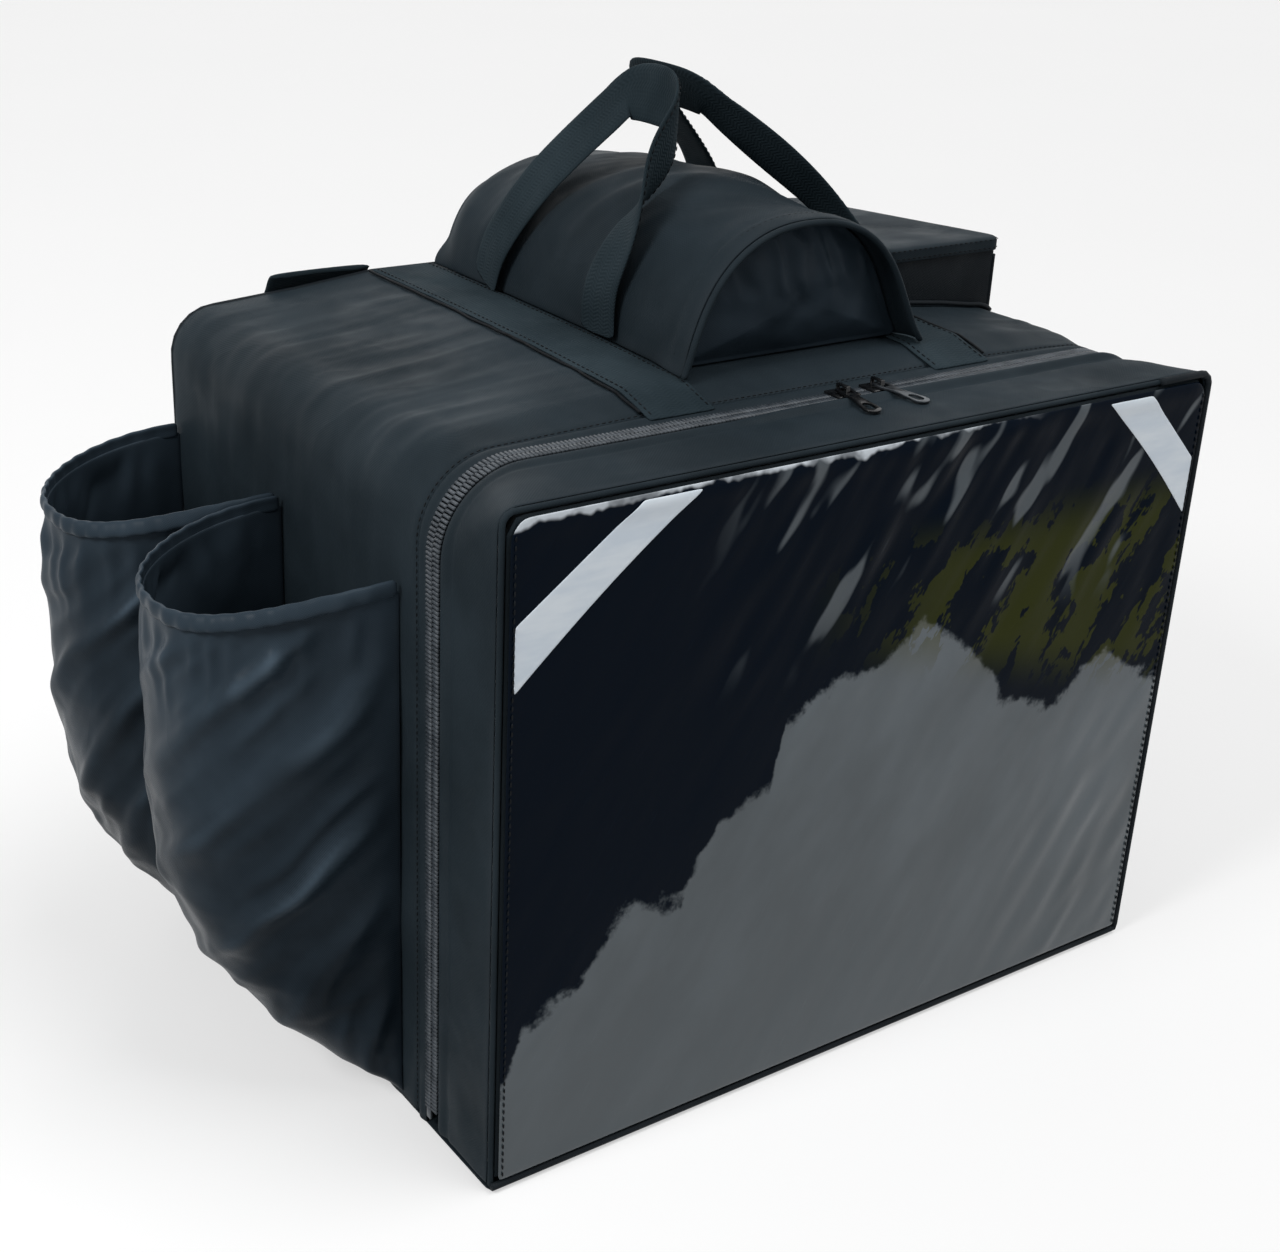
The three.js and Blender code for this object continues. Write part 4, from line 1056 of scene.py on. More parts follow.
@dataclass
class OuterBody:
    """The cloth shell, the bottom, the back and the padded, foil-lined walls."""

    form: BagForm = FORM
    hem_y: float = -103.0
    cloth: float = 1.0
    back_top_share: float = 0.74  # of the back panel's edge, the part over the sides and the top
    floor_share: float = 0.28  # of a ring round the inside, the part along the floor
    wall_front_y: float = -101.4
    wall_back_y: float = 163.5
    foil_depth: float = 9.8

    def ease(self, point: Vector, out: Vector) -> float:
        """How far the shell's cloth stands off its plain outline, in millimetres.

        Args:
            point: Place on the plain outline.
            out: Its outward direction.

        Returns:
            The distance outwards.
        """
        x, y, z = point
        upper = max(0.0, out.z)
        # The hem beside the zipper stands up as a small roll, with a sewn groove behind it.
        roll = 0.8 * hump(y, -108.0, 3.0) - 1.5 * hump(y, self.hem_y, 1.5)
        strips = smooth(-112, -104, x) * (1 - smooth(-62, -54, x))
        strips += smooth(72, 80, x) * (1 - smooth(122, 130, x))
        swell = 3.2 * smooth(-101, -80, y) * (1 - smooth(-70, -20, y)) * upper
        swell *= (1 - smooth(-160, -110, x) * 0.6) * (1 - 0.9 * strips)
        left_top = upper * (1 - smooth(-112, -100, x))
        right_top = upper * smooth(118, 126, x) * (1 - smooth(-60, -25, y))
        streaks = 1.5 * wander(x / 105 + 3, y / 12, 1.0) + 0.7 * wander(x / 60, y / 6.5, 4.0)
        broad = 2.2 * wander(x / 110, y / 60, 8.0)
        folds = (streaks * 0.75 + broad * 0.6) * smooth(-98, -70, y) * (1 - smooth(150, 168, y))
        side = (1 - upper) * smooth(-104, -92, y)
        drape = 1.6 * wander(y / 26, (z + 0.6 * y) / 60, 3.0) + 0.8 * wander(y / 12, (z + 0.6 * y) / 42, 6.0)
        uneven = 0.4 * wander(x / 38, y / 38, z / 38) * smooth(-102, -90, y)
        return max(-1.4, roll + swell + folds * (left_top + 0.6 * right_top) + drape * side + uneven)

    def shell(self) -> None:
        """The cloth over the left side, the top and the right side."""
        form = self.form
        maker = Cloth("outer_shell", "bag", "nylon", Finish.NYLON)

        def place(across: float, along: float) -> Vector:
            """A point of the shell; its rows lie closer together near the zipper."""
            y = mix(form.body_front_y, form.wrap_back_y, along**1.35)
            point, out = form.outline(across, y, form.foot)
            return point + out * self.ease(point, out)

        size = (form.length(form.foot, 30), form.wrap_back_y - form.body_front_y)
        bm = maker.grid(250, 112, size, place, Vector((0, 30, 150)), 9)
        maker.finish(bm, self.cloth, 0, ["body_wrap"])

    def flat_panels(self) -> None:
        """The bottom panel with its turned edges, and the back panel with its piping."""
        form = self.form
        maker = Cloth("bottom_cloth", "bag", "nylon", Finish.NYLON)

        def bottom(across: float, along: float) -> Vector:
            """A point of the bottom, turned up a little at its edges."""
            x = mix(-form.half_width, form.half_width, across)
            y = mix(form.front_y, form.back_y, along)
            near = min(form.half_width - abs(x), y - form.front_y, form.back_y - y)
            return Vector((x, y, 0.35 + 0.85 * (1 - smooth(0, 7, near)) + 0.2 * abs(wander(x / 50, y / 50))))

        bm = maker.grid(60, 48, (450, 350), bottom, Vector((0, 0, 200)), 12)
        maker.finish(bm, 0.35, 1, ["bottom_panel"])
        rear = Cloth("back_cloth", "bag", "nylon", Finish.NYLON)

        def back(across: float, along: float) -> Vector:
            """A point of the back, from its edge to its middle."""
            if across < self.back_top_share:
                edge, _ = form.outline(across / self.back_top_share, form.back_y, 2.0)
            else:
                share = (across - self.back_top_share) / (1 - self.back_top_share)
                edge = Vector((mix(form.half_width, -form.half_width, share), form.back_y, 2.0))
            shrink = mix(1.0, 0.0, along)
            point = Vector((edge.x * shrink, form.back_y, 150 + (edge.z - 150) * shrink))
            clear = max(abs(point.x) - 150, point.z - 320, 46 - point.z)
            puff = 1.6 * smooth(0, 12, clear) * smooth(0, 0.06, along)
            return point + Vector((0, puff * (0.6 + 0.4 * wander(point.x / 40, point.z / 40)) - 0.1, 0))

        bm = rear.grid(180, 30, (1500, 220), back, Vector((0, 0, 150)), 8, True)
        merge(bm)
        rear.finish(bm, 1.2, 0, ["back_panel"])
        edge = [form.outline(i / 160, form.back_y, 3.0, None, 1.2)[0] - REAR * 0.6 for i in range(161)]
        pipe("back_piping", "bag", "nylon", edge, 1.9)

    def walls(self) -> None:
        """The foam walls and the quilted foil that faces the food."""
        form = self.form
        foam = Cloth("wall_padding", "bag", "foam", Finish.FOAM)

        def ring(share: float, y: float, inset: float) -> Vector:
            """A point round the inside, over both sides, the top and the floor."""
            foot, over = form.foot + inset, 1 - self.floor_share
            if share < over:
                return form.outline(share / over, y, foot, form.radius(y), inset)[0]
            half = form.half_width - inset
            return Vector((mix(half, -half, (share - 1 + self.floor_share) / self.floor_share), y, foot))

        def sleeve(across: float, along: float) -> Vector:
            """A point of the foam sleeve."""
            return ring(across, mix(-101.0, 162.0, along), 3.2)

        bm = foam.grid(120, 30, (1500, 263), sleeve, Vector((0, 30, 180)), 4, True)
        foam.finish(bm, 6.0, 0, ["foam_left", "foam_right", "foam_top", "foam_bottom"])
        slab = Cloth("back_padding", "bag", "foam", Finish.FOAM)

        def board(across: float, along: float) -> Vector:
            """A point of the rear board."""
            point = ring(across, 169.5, 4.0)
            return Vector((point.x * along, 170.5, 150 + (point.z - 150) * along))

        bm = slab.grid(120, 12, (1500, 200), board, Vector((0, 0, 150)), 4, True)
        merge(bm)
        slab.finish(bm, 3.0, 0, ["foam_back"])
        foil = Cloth("foil_sleeve", "bag", "lining", Finish.FOIL)
        turned, walled = 0.06, 0.72  # shares along the foil

        def lining(across: float, along: float) -> Vector:
            """A point of the foil: its turned front edge, its quilted sleeve, and its rear wall."""
            near, far, depth = self.wall_front_y, self.wall_back_y, self.foil_depth
            if along < turned:
                point = ring(across, near, mix(3.0, depth, along / turned))
                return point + Vector((0, -0.8 * math.sin(math.pi * along / turned), 0))
            if along < walled:
                share = (along - turned) / (walled - turned)
                point = ring(across, mix(near, far, share), depth)
                quilt = 0.9 * (0.5 - 0.5 * math.cos(2 * math.pi * share * 6))
                return point + (Vector((0, point.y, 175)) - point).normalized() * quilt
            share = (along - walled) / (1 - walled)
            point = ring(across, far, depth).lerp(Vector((0, far, 175)), min(1.0, share))
            return point + Vector((0, -0.9 * (0.5 - 0.5 * math.cos(math.pi * share * 6)), 0))

        bm = foil.grid(132, 60, (1400, 500), lining, Vector((0, 0, 175)), 4, True)
        merge(bm)
        bmesh.ops.reverse_faces(bm, faces=bm.faces)
        foil.finish(bm, 0.35, 1, ["lining"])

    def seams(self) -> None:
        """The two wavy seams over the top panel, and the sewn line behind the zipper."""
        form = self.form
        for name, x, to_y in (("top_seam_left", -104.4, 170.0), ("top_seam_right", 122.4, -22.0)):
            path = []
            for i in range(90):
                y = mix(-102.0, to_y, i / 89)
                wave = 0.9 * wander(y / 14, x) + 0.5 * math.sin(y / 9)
                path.append(Vector((x + wave, y, form.top_z(x, y) + 1.0)))
            pipe(name, "bag", "nylon", path, 0.75, 6, look=Finish.THREAD)
        path, faces = [], []
        for i in range(260):
            point, out = form.outline(i / 259, self.hem_y, 6.0, mix(42.0, 33.6, 0.3))
            point += out * 0.1
            if out.z > 0.99:
                point.z = form.top_z(point.x, self.hem_y) + 0.1
            path.append(point)
            faces.append(out)
        sew("zipper_seam_thread", "bag", "nylon", path, faces, 3.6, 0.4)

    def build(self) -> None:
        """Makes every piece of the body."""
        self.shell()
        self.flat_panels()
        self.walls()
        self.seams()


@dataclass
class FrontDoor:
    """The shallow tray that closes the front: side cloth, window, piping and reflective tapes."""

    form: BagForm = FORM
    foot: float = 4.0
    face_radius: float = 8.0
    face_inset: float = 4.0
    side_front_y: float = -171.6
    side_back_y: float = -124.2
    window_half: float = 221.0
    window_foot: float = 7.0
    window_top: float = 356.0
    tape_half: float = 218.0
    tape_top: float = 353.0
    tape_width: float = 33.0
    # Each tape's name, side, and its reach along the top edge and down the side edge.
    tapes: tuple[tuple[str, int, float, float], ...] = (("left", -1, 98.0, 80.0), ("right", 1, 74.0, 74.0))

    def side_cloth(self) -> None:
        """The cloth between the window's piping and the zipper."""
        form = self.form
        maker = Cloth("door_side_cloth", "door", "nylon", Finish.NYLON)

        def place(across: float, along: float) -> Vector:
            """A point of the side cloth, from the face to the zipper."""
            y = mix(self.side_front_y, self.side_back_y, along)
            radius = mix(self.face_radius, form.zip_radius, along)
            point, out = form.outline(across, y, self.foot, radius)
            # On the right half of the top the hem stands higher and hides the chain from the front.
            tall = max(0.0, out.z) * smooth(-70, -30, point.x)
            hem = mix(0.8, 2.9, tall) * hump(y, -127.0, 2.4)
            hem -= 1.2 * hump(y, -132.2, 1.4)
            middle = math.sin(math.pi * along)
            slack = 1.1 * wander(point.x / 34, y / 22, point.z / 34)
            slack += 0.6 * wander(point.x / 14, y / 16, point.z / 14)
            return point + out * max(-1.2, hem + middle * slack)

        bm = maker.grid(230, 22, (form.length(self.foot, 25), 47), place, Vector((0, -150, 150)), 6)
        maker.finish(bm, 1.0, 1, ["door_gusset"])

    def face_sheet(
        self, name: str, slot: str, look: Finish, y: float, inset: float, foot: float
    ) -> tuple[Cloth, bmesh.types.BMesh]:
        """A flat sheet of the door's outline, drawn in to a spine along its middle height.

        Args:
            name: Piece name.
            slot: Material slot.
            look: Its finish.
            y: Its depth.
            inset: Distance inside the door's outline.
            foot: Height of its lower edge.

        Returns:
            The maker and the mesh, still to be finished.
        """
        form = self.form
        half, top = form.half_width - inset, form.height - inset
        maker = Cloth(name, "door", slot, look)

        def place(across: float, along: float) -> Vector:
            """A point of the sheet, with rounded upper corners."""
            x = mix(-half, half, across)
            corner = max(0.0, abs(x) - half + self.face_radius)
            drop = self.face_radius - math.sqrt(max(0.0, self.face_radius**2 - corner**2))
            return Vector((x, y, mix(foot, top - drop, along)))

        return maker, maker.grid(96, 76, (2 * half, top - foot), place, Vector((0, 0, 180)), 5)

    def face(self) -> None:
        """The face cloth, foam, foil and the rippled window."""
        maker, bm = self.face_sheet("door_face_cloth", "nylon", Finish.NYLON, -173.2, self.face_inset, 8.0)
        maker.finish(bm, 0.8, 0, ["door_face"])
        maker, bm = self.face_sheet("door_padding", "foam", Finish.FOAM, -171.4, 5.5, 9.0)
        maker.finish(bm, 7.0, 0, ["door_foam"])
        maker, bm = self.face_sheet("door_foil", "lining", Finish.FOIL, -163.4, 5.0, 8.5)
        for vert in bm.verts:
            x, z = vert.co.x / MM, vert.co.z / MM
            square = 0.5 - 0.5 * math.cos(2 * math.pi * x / 74)
            square *= 0.5 - 0.5 * math.cos(2 * math.pi * z / 70)
            vert.co.y += 1.2 * square * MM
        bmesh.ops.reverse_faces(bm, faces=bm.faces)
        maker.finish(bm, 0.3, 1, ["door_lining"])
        maker, bm = self.face_sheet("window_vinyl", "vinyl", Finish.VINYL, -174.6, 4.2, self.window_foot)
        for vert in bm.verts:
            vert.co.y -= self.ripple(vert.co.x / MM, vert.co.z / MM) * MM
        piece = maker.finish(bm, 0.5, 1, ["window"])

    def ripple(self, x: float, z: float) -> float:
        """How far the window's vinyl stands out, with its rolled top and its slanted ripples."""
        inside = smooth(0, 10, self.window_half - abs(x)) * smooth(0, 8, z - self.window_foot)
        inside *= smooth(0, 5, self.window_top - z)
        roll = 2.4 * hump(z, 350, 4.5) * (0.55 + 0.6 * wander(x / 24, 4.0))
        # The ripples run up to the right, at about 57 degrees.
        across, along = x * 0.84 - z * 0.545, x * 0.545 + z * 0.84
        upper = smooth(200, 290, z) * smooth(-140, -60, x)
        ripples = 2.4 * wander(across / 13, along / 60, 7.0) + 1.2 * wander(across / 6.5, along / 40, 9.0)
        low = smooth(90, 180, x) * (1 - smooth(120, 200, z))
        broad = 1.6 * wander(x / 100, z / 110, 5.0)
        # The vinyl is flat where a tape is sewn to it.
        reach, drop = self.tapes[0 if x < 0 else 1][2:]
        taped = (self.tape_half - abs(x)) / reach + (self.tape_top - z) / drop
        loose = smooth(1.03, 1.25, taped)
        loose *= upper + 0.7 * low + 0.12
        return 1.6 + inside * (roll * 0.7 + loose * ripples * 0.7 + broad * 0.5)

    def trims(self) -> None:
        """The piping round the face, the window's stitches and the two reflective tapes."""
        form = self.form
        path = []
        for i in range(300):
            point, out = form.outline(i / 299, -173.4, self.foot, self.face_radius)
            path.append(point - out * 1.9 + Vector((0, 0.9, 0)))
        pipe("door_piping", "door", "nylon", path, 1.5, look=Finish.NYLON, replaces=["face_piping"])
        rim = [Vector((mix(-223.6, 223.6, i / 90), -174.2, 3.6)) for i in range(91)]
        for i in range(100):
            point, out = form.outline(mix(0.998, 0.66, i / 99), -174.2, self.foot, self.face_radius)
            rim.append(point - out * 1.2)
        pipe("door_binding", "door", "nylon", rim, 2.1)
        for side, x in (("left", -218.6), ("right", 218.6)):
            heights = [mix(9, 349, i / 60) for i in range(61)]
            run = [Vector((x, -175.1 - self.ripple(x, z), z)) for z in heights]
            sew(f"window_stitches_{side}", "door", "nylon", run, [-REAR] * 61, 4.2, 0.5)
        half, top, wide = self.tape_half, self.tape_top, self.tape_width
        for name, side, reach, drop in self.tapes:
            tape = Cloth(f"reflective_tape_{name}", "door", "reflector", Finish.REFLECTOR)

            def place(across: float, along: float) -> Vector:
                """A point of the tape, which lies on the rippled window."""
                inner = Vector((half - reach, top)).lerp(Vector((half, top - drop)), along)
                outer = Vector((half - reach + wide, top)).lerp(Vector((half, top - drop + wide)), along)
                bow = 2.2 * math.sin(math.pi * along)
                spot = inner.lerp(outer, across) + Vector((bow * 0.7, bow * 0.7)) * (1 - across)
                x, z = side * spot.x, spot.y
                return Vector((x, -175.0 - self.ripple(x, z), z))

            bm = tape.grid(10, 36, (wide, math.hypot(reach, drop)), place, Vector((0, 0, 300)), 1.5)
            tape.finish(bm, 0.3, 1, [f"reflector_{name}"])

    def build(self) -> None:
        """Makes every piece of the door."""
        self.side_cloth()
        self.face()
        self.trims()


@dataclass
class Zipper:
    """Tapes, coils, sliders, pulls and stops."""

    form: BagForm = FORM
    foot: float = 13.0
    pitch: float = 2.3

    def tapes(self) -> None:
        """The woven tape on each side of the chain."""
        form = self.form
        for name, body, near, far in (("body", "bag", -117.2, -102.4), ("door", "door", -118.8, -133.6)):
            tape = Cloth(f"zipper_tape_{name}", body, "webbing", Finish.TAPE)

            def place(across: float, along: float) -> Vector:
                """A point of the tape, just under the chain."""
                point, out = form.outline(across, mix(near, far, along), self.foot, form.zip_radius)
                return point - out * 1.55

            length = form.length(self.foot, form.zip_radius)
            bm = tape.grid(150, 6, (length, 15), place, Vector((0, -118, 150)), 1)
            tape.finish(bm, 0.7, 0, [f"zip_tape_{name}"])

    def coils(self) -> None:
        """The rows of nylon teeth, each a small rounded loop across the tape."""
        form = self.form
        length = form.length(self.foot, form.zip_radius)
        count, thick = int(length / self.pitch), 0.98 * MM
        rows = (("body", "bag", -117.4, -112.7, 0.0), ("door", "door", -118.6, -123.3, 0.5))
        for name, body, near, far, shift in rows:
            bm = bmesh.new()
            for i in range(count):
                point, out = form.outline((i + shift + 0.2) / count, 0.0, self.foot, form.zip_radius)
                wave = 0.25 * wander(i / 9, 3.0)
                middle = Vector((point.x, (near + far) / 2 + wave * 0.4, point.z)) + out * (0.1 + wave)
                run = Vector((out.z, 0, -out.x))
                turn = Matrix((run, out, Vector((0, 1, 0)))).transposed().to_4x4()
                size = {"radius1": thick, "radius2": thick, "depth": (abs(far - near) + 0.4) * MM}
                spot = Matrix.Translation(middle * MM) @ turn
                bmesh.ops.create_cone(bm, cap_ends=True, segments=6, matrix=spot, **size)
            coil = Cloth(f"zipper_teeth_{name}", body, "coil", Finish.COIL)
            coil.finish(bm, 0, 0, [f"zip_coil_{name}"])

    def fittings(self) -> None:
        """Sliders, pulls and end stops, with rounded edges."""
        for name, finish in (("left", Finish.ENAMEL), ("right", Finish.ENAMEL), ("low", Finish.STEEL)):
            body = f"slider_{name}"
            rounded_copy(body, f"zipper_slider_{name}", body, "zip_metal", finish, 0.45)
        for name, finish in (("left", Finish.ENAMEL), ("right", Finish.STEEL), ("low", Finish.STEEL)):
            rounded_copy(f"pull_{name}", f"zipper_pull_{name}", f"pull_{name}", "zip_metal", finish, 0.35)
        for name in ("left", "right"):
            rounded_copy(f"zip_stop_{name}", f"zipper_stop_{name}", "bag", "zip_metal", Finish.STEEL, 0.4)

    def build(self) -> None:
        """Makes every piece of the zipper."""
        self.tapes()
        self.coils()
        self.fittings()


@dataclass
class TunnelPouch:
    """The arched pouch on the top, with its double hem and its puffed end."""

    form: BagForm = FORM
    centre_x: float = 9.0
    half: float = 70.0
    front_y: float = -84.0
    back_y: float = 172.0
    rises: tuple[float, ...] = (74.0, 79.0, 74.0, 62.0)
    places: tuple[float, ...] = (-84.0, 0.0, 87.5, 175.0)
    roundness: float = 2.25
    end_y: float = -72.0
    rear_y: float = 169.0

    def arch(self, share: float, y: float, inset: float = 0.0) -> tuple[Vector, Vector]:
        """A point of the arch from its left foot to its right foot, and its outward direction.

        Args:
            share: Share of the way over the arch.
            y: Depth of the section.
            inset: Distance inside the outer cloth.

        Returns:
            The point and its outward direction.
        """
        angle = math.pi * (1 - share)
        rise = steps_between(self.rises, self.places, y) - inset
        across, up = squared(angle, 2 / self.roundness)
        x = self.centre_x + (self.half - inset) * across
        # Near the mouth both feet run out flat over the panel, the right one further.
        flare = (1 - up) ** 4 * (1 - smooth(-78, -48, y))
        x += flare * (14.0 if across > 0 else -6.0)
        foot = self.form.top_z(x, y) + 2.2 * flare
        z = foot * (1 - up) + (self.form.top_z(self.centre_x, y) + rise) * up + 0.4
        out = Vector((math.cos(angle), 0, math.sin(angle))).normalized()
        return Vector((x, y, z)), out

    def shell(self) -> None:
        """The arched cloth, rounded down at the back, with soft folds."""
        maker = Cloth("tunnel_cloth", "bag", "nylon", Finish.NYLON)

        def place(across: float, along: float) -> Vector:
            """A point of the arched cloth, with its folds, its hem and its fall at the back."""
            y = mix(self.front_y, self.back_y, along)
            point, out = self.arch(across, y)
            upper = smooth(0.0, 0.25, math.sin(math.pi * across))
            lean = y + 0.7 * (point.x - self.centre_x)
            slack = 1.1 * wander(lean / 17, point.x / 60, 9.0) + 0.5 * wander(lean / 8, point.x / 40, 2.0)
            slack *= smooth(-72, -40, y) * (1 - smooth(130, 168, y))
            slack += 1.0 * (1 - smooth(-71.5, -69.5, y)) - 0.9 * hump(y, -69.0, 1.6)
            soft = 1.8 * wander(point.x / 36, y / 44, point.z / 36) * smooth(-76, -50, y)
            sag = -2.5 * hump(y, -40, 30) * smooth(0.5, 1, math.sin(math.pi * across))
            end = -9.0 * smooth(140, 172, y) ** 2
            return point + out * upper * (slack + soft + sag + end)

        bm = maker.grid(64, 84, (235, 256), place, Vector((self.centre_x, 40, 370)), 7)
        maker.finish(bm, 1.2, 1, ["tunnel_shell"])

    def mouth(self) -> None:
        """The double-stitched hem, the puffed end and the rear panel."""
        hem = Cloth("tunnel_hem_band", "bag", "nylon", Finish.NYLON)
        rim = [self.arch(i / 80, self.front_y - 1.6) for i in range(81)]
        inner = [p - f * 0.9 for p, f in rim]
        hem.finish(hem.cord(inner, 2.1, 8, 0.9), 0, 1, ["tunnel_hem"])
        for name, y in (("tunnel_stitches_outer", -79.0), ("tunnel_stitches_inner", -74.5)):
            line = [self.arch(0.03 + 0.94 * i / 90, y) for i in range(91)]
            points = [p + f * 0.15 for p, f in line]
            sew(name, "bag", "nylon", points, [f for _, f in line], 3.8, 0.42)
        # The puffed end, set back in the tunnel's mouth, is painted darker all over as painted shade.
        flap = Cloth("tunnel_end", "bag", "satin", Finish.SATIN, -0.25)
        base = self.form.top_z(self.centre_x, self.end_y) + 1.0
        hub = Vector((self.centre_x + 4, self.end_y, base + 30))
        arch_share = 0.66

        def place(across: float, along: float) -> Vector:
            """A point of the puffed end, from its middle to its rim."""
            if across < arch_share:
                rim, _ = self.arch(across / arch_share, self.end_y, 3.0)
            else:
                left, right = self.arch(0.0, self.end_y, 3.0)[0], self.arch(1.0, self.end_y, 3.0)[0]
                rim = right.lerp(left, (across - arch_share) / (1 - arch_share))
            point = hub.lerp(rim, along)
            up = (point.z - base) / 74
            puff = 8.0 * (1 - along**2.6)
            lean = point.x + 0.35 * (point.z - base)
            pleats = 2.2 * ridge(lean / 14.5 + 0.5 * wander(point.x / 15, point.z / 22, 1.0), 1.5)
            pleats *= smooth(0.3, 0.75, up) * (1 - smooth(0.93, 1.0, along))
            dents = 1.6 * wander(point.x / 17, point.z / 13, 5.0) * (1 - along**3)
            return Vector((point.x, -70.5 - max(0.0, puff + pleats - 1.5 + dents), point.z))

        bm = flap.grid(96, 26, (300, 70), place, Vector((self.centre_x, 40, 380)), 3, True)
        merge(bm, 0.25)
        end = flap.finish(bm, 1.0, 1, ["tunnel_flap"])
        rear = Cloth("tunnel_rear", "bag", "nylon", Finish.NYLON)

        def back(across: float, along: float) -> Vector:
            """A point of the rear panel."""
            point, _ = self.arch(across, self.rear_y, 9.5)
            base = self.form.top_z(point.x, self.rear_y) + 0.8
            y = self.rear_y - 0.4 + 1.2 * math.sin(math.pi * along)
            return Vector((point.x, y, mix(base, max(base, point.z), along)))

        bm = rear.grid(40, 18, (140, 60), back, Vector((self.centre_x, 0, 380)), 4)
        rear.finish(bm, 0.9, 1, ["tunnel_back"])

    def build(self) -> None:
        """Makes every piece of the tunnel pouch."""
        self.shell()
        self.mouth()


@dataclass
class BoxPouch:
    """The flat box pouch at the back right of the top, with its lid."""

    form: BagForm = FORM
    left: float = 124.0
    right: float = 212.0
    front: float = -18.0
    back: float = 172.0
    rim_front_z: float = 399.0
    rim_back_z: float = 384.0

    def rim_z(self, y: float) -> float:
        """Height of the rim, which falls toward the back."""
        return mix(self.rim_front_z, self.rim_back_z, (y - self.front) / (self.form.back_y - self.front))

    def walk(self, share: float, out: float = 0.0, corner: float = 5.0) -> Vector:
        """A point of the pouch's plan, once round from the back left corner.

        Args:
            share: Share of the way round.
            out: Distance outside the plan.
            corner: Corner radius.

        Returns:
            The point at height 0.
        """
        x0, x1, y0, y1 = self.left - out, self.right + out, self.front - out, self.back + out
        r = corner + out
        spots = []
        corners = ((x0 + r, y0 + r, 180), (x1 - r, y0 + r, 270), (x1 - r, y1 - r, 0), (x0 + r, y1 - r, 90))
        for cx, cy, start in corners:
            for k in range(5):
                a = math.radians(start + k * 22.5)
                spots.append(Vector((cx + r * math.cos(a), cy + r * math.sin(a), 0)))
        spots.append(spots[0].copy())
        lengths = lengths_along(spots)
        at = share * lengths[-1]
        for i in range(len(spots) - 1):
            if at <= lengths[i + 1] + 1e-9:
                span = lengths[i + 1] - lengths[i]
                return spots[i].lerp(spots[i + 1], (at - lengths[i]) / span if span else 0)
        return spots[-1]

    def build(self) -> None:
        """Makes the box, its lid, its piping and its stitches."""
        middle = Vector(((self.left + self.right) / 2, (self.front + self.back) / 2, 0))
        # Its walls take the darker binding-tape finish, so they are darker than the lid of the same nylon.
        box = Cloth("box_pouch", "bag", "nylon", Finish.TRIM)

        def wall(across: float, along: float) -> Vector:
            """A point of the box's wall."""
            spot = self.walk(across, -0.4, 3.0)
            low, high = self.form.top_z(spot.x, spot.y) + 1.0, self.rim_z(spot.y) - 0.6
            point = Vector((spot.x, spot.y, mix(low, high, along)))
            out = (spot - middle).normalized()
            slack = 0.5 + 0.9 * wander(spot.x / 24, spot.y / 24, point.z / 20)
            return point + out * (slack * math.sin(math.pi * along) * 0.4)

        bm = box.grid(230, 10, (550, 40), wall, middle + Vector((0, 0, 380)), 3, True)
        box.finish(bm, 1.0, 1, ["pouch_box"])
        lid = Cloth("box_pouch_lid", "pouch_lid", "nylon", Finish.NYLON)
        lid_edge = 0.22  # share along the lid's cloth

        def cover(across: float, along: float) -> Vector:
            """A point of the lid: its turned-down edge, and then its top."""
            if along < lid_edge:
                spot = self.walk(across, 1.7)
                return Vector((spot.x, spot.y, self.rim_z(spot.y) + mix(-6.2, 1.0, along / lid_edge)))
            share = 1 - (along - lid_edge) / (1 - lid_edge)
            spot = self.walk(across, 1.7 - 1.2 * smooth(0, 0.12, 1 - share))
            flat = middle + (spot - middle) * share
            inner = 1 - share
            sag = 0.5 * wander(flat.x / 20, flat.y / 20, 2.0) * smooth(0, 0.2, inner)
            sag -= 1.2 * smooth(0.1, 0.8, inner)
            return Vector((flat.x, flat.y, self.rim_z(flat.y) + 1.9 + 0.6 * smooth(0, 0.1, inner) + sag))

        bm = lid.grid(200, 30, (550, 60), cover, middle + Vector((0, 0, 350)), 5, True)
        merge(bm)
        lid.finish(bm, 1.1, 1, ["pouch_lid"])
        for name, drop, out in (("lid_stitches_upper", 0.4, 1.85), ("lid_stitches_lower", -4.4, 1.85)):
            spots = [self.walk(i / 200, out) for i in range(201)]
            points = [Vector((p.x, p.y, self.rim_z(p.y) + drop)) for p in spots]
            faces = [(p - middle).normalized() for p in spots]
            sew(name, "pouch_lid", "nylon", points, faces, 4.0, 0.35)
        path = []
        for i in range(100):
            spot = self.walk(mix(0.01, 0.66, i / 99), 1.9)
            path.append(Vector((spot.x, spot.y, self.form.top_z(spot.x, spot.y) + 2.1)))
        pipe("box_pouch_piping", "bag", "nylon", path, 1.45, replaces=["pouch_piping"])
        foot = Vector((self.right - 1.5, self.front + 1.5, self.form.top_z(self.right, self.front) + 2.0))
        path = [foot + Vector((0, 0, k * 2.4)) for k in range(20)]
        pipe("box_pouch_corner_piping", "bag", "nylon", [p for p in path if p.z < 391], 1.5)


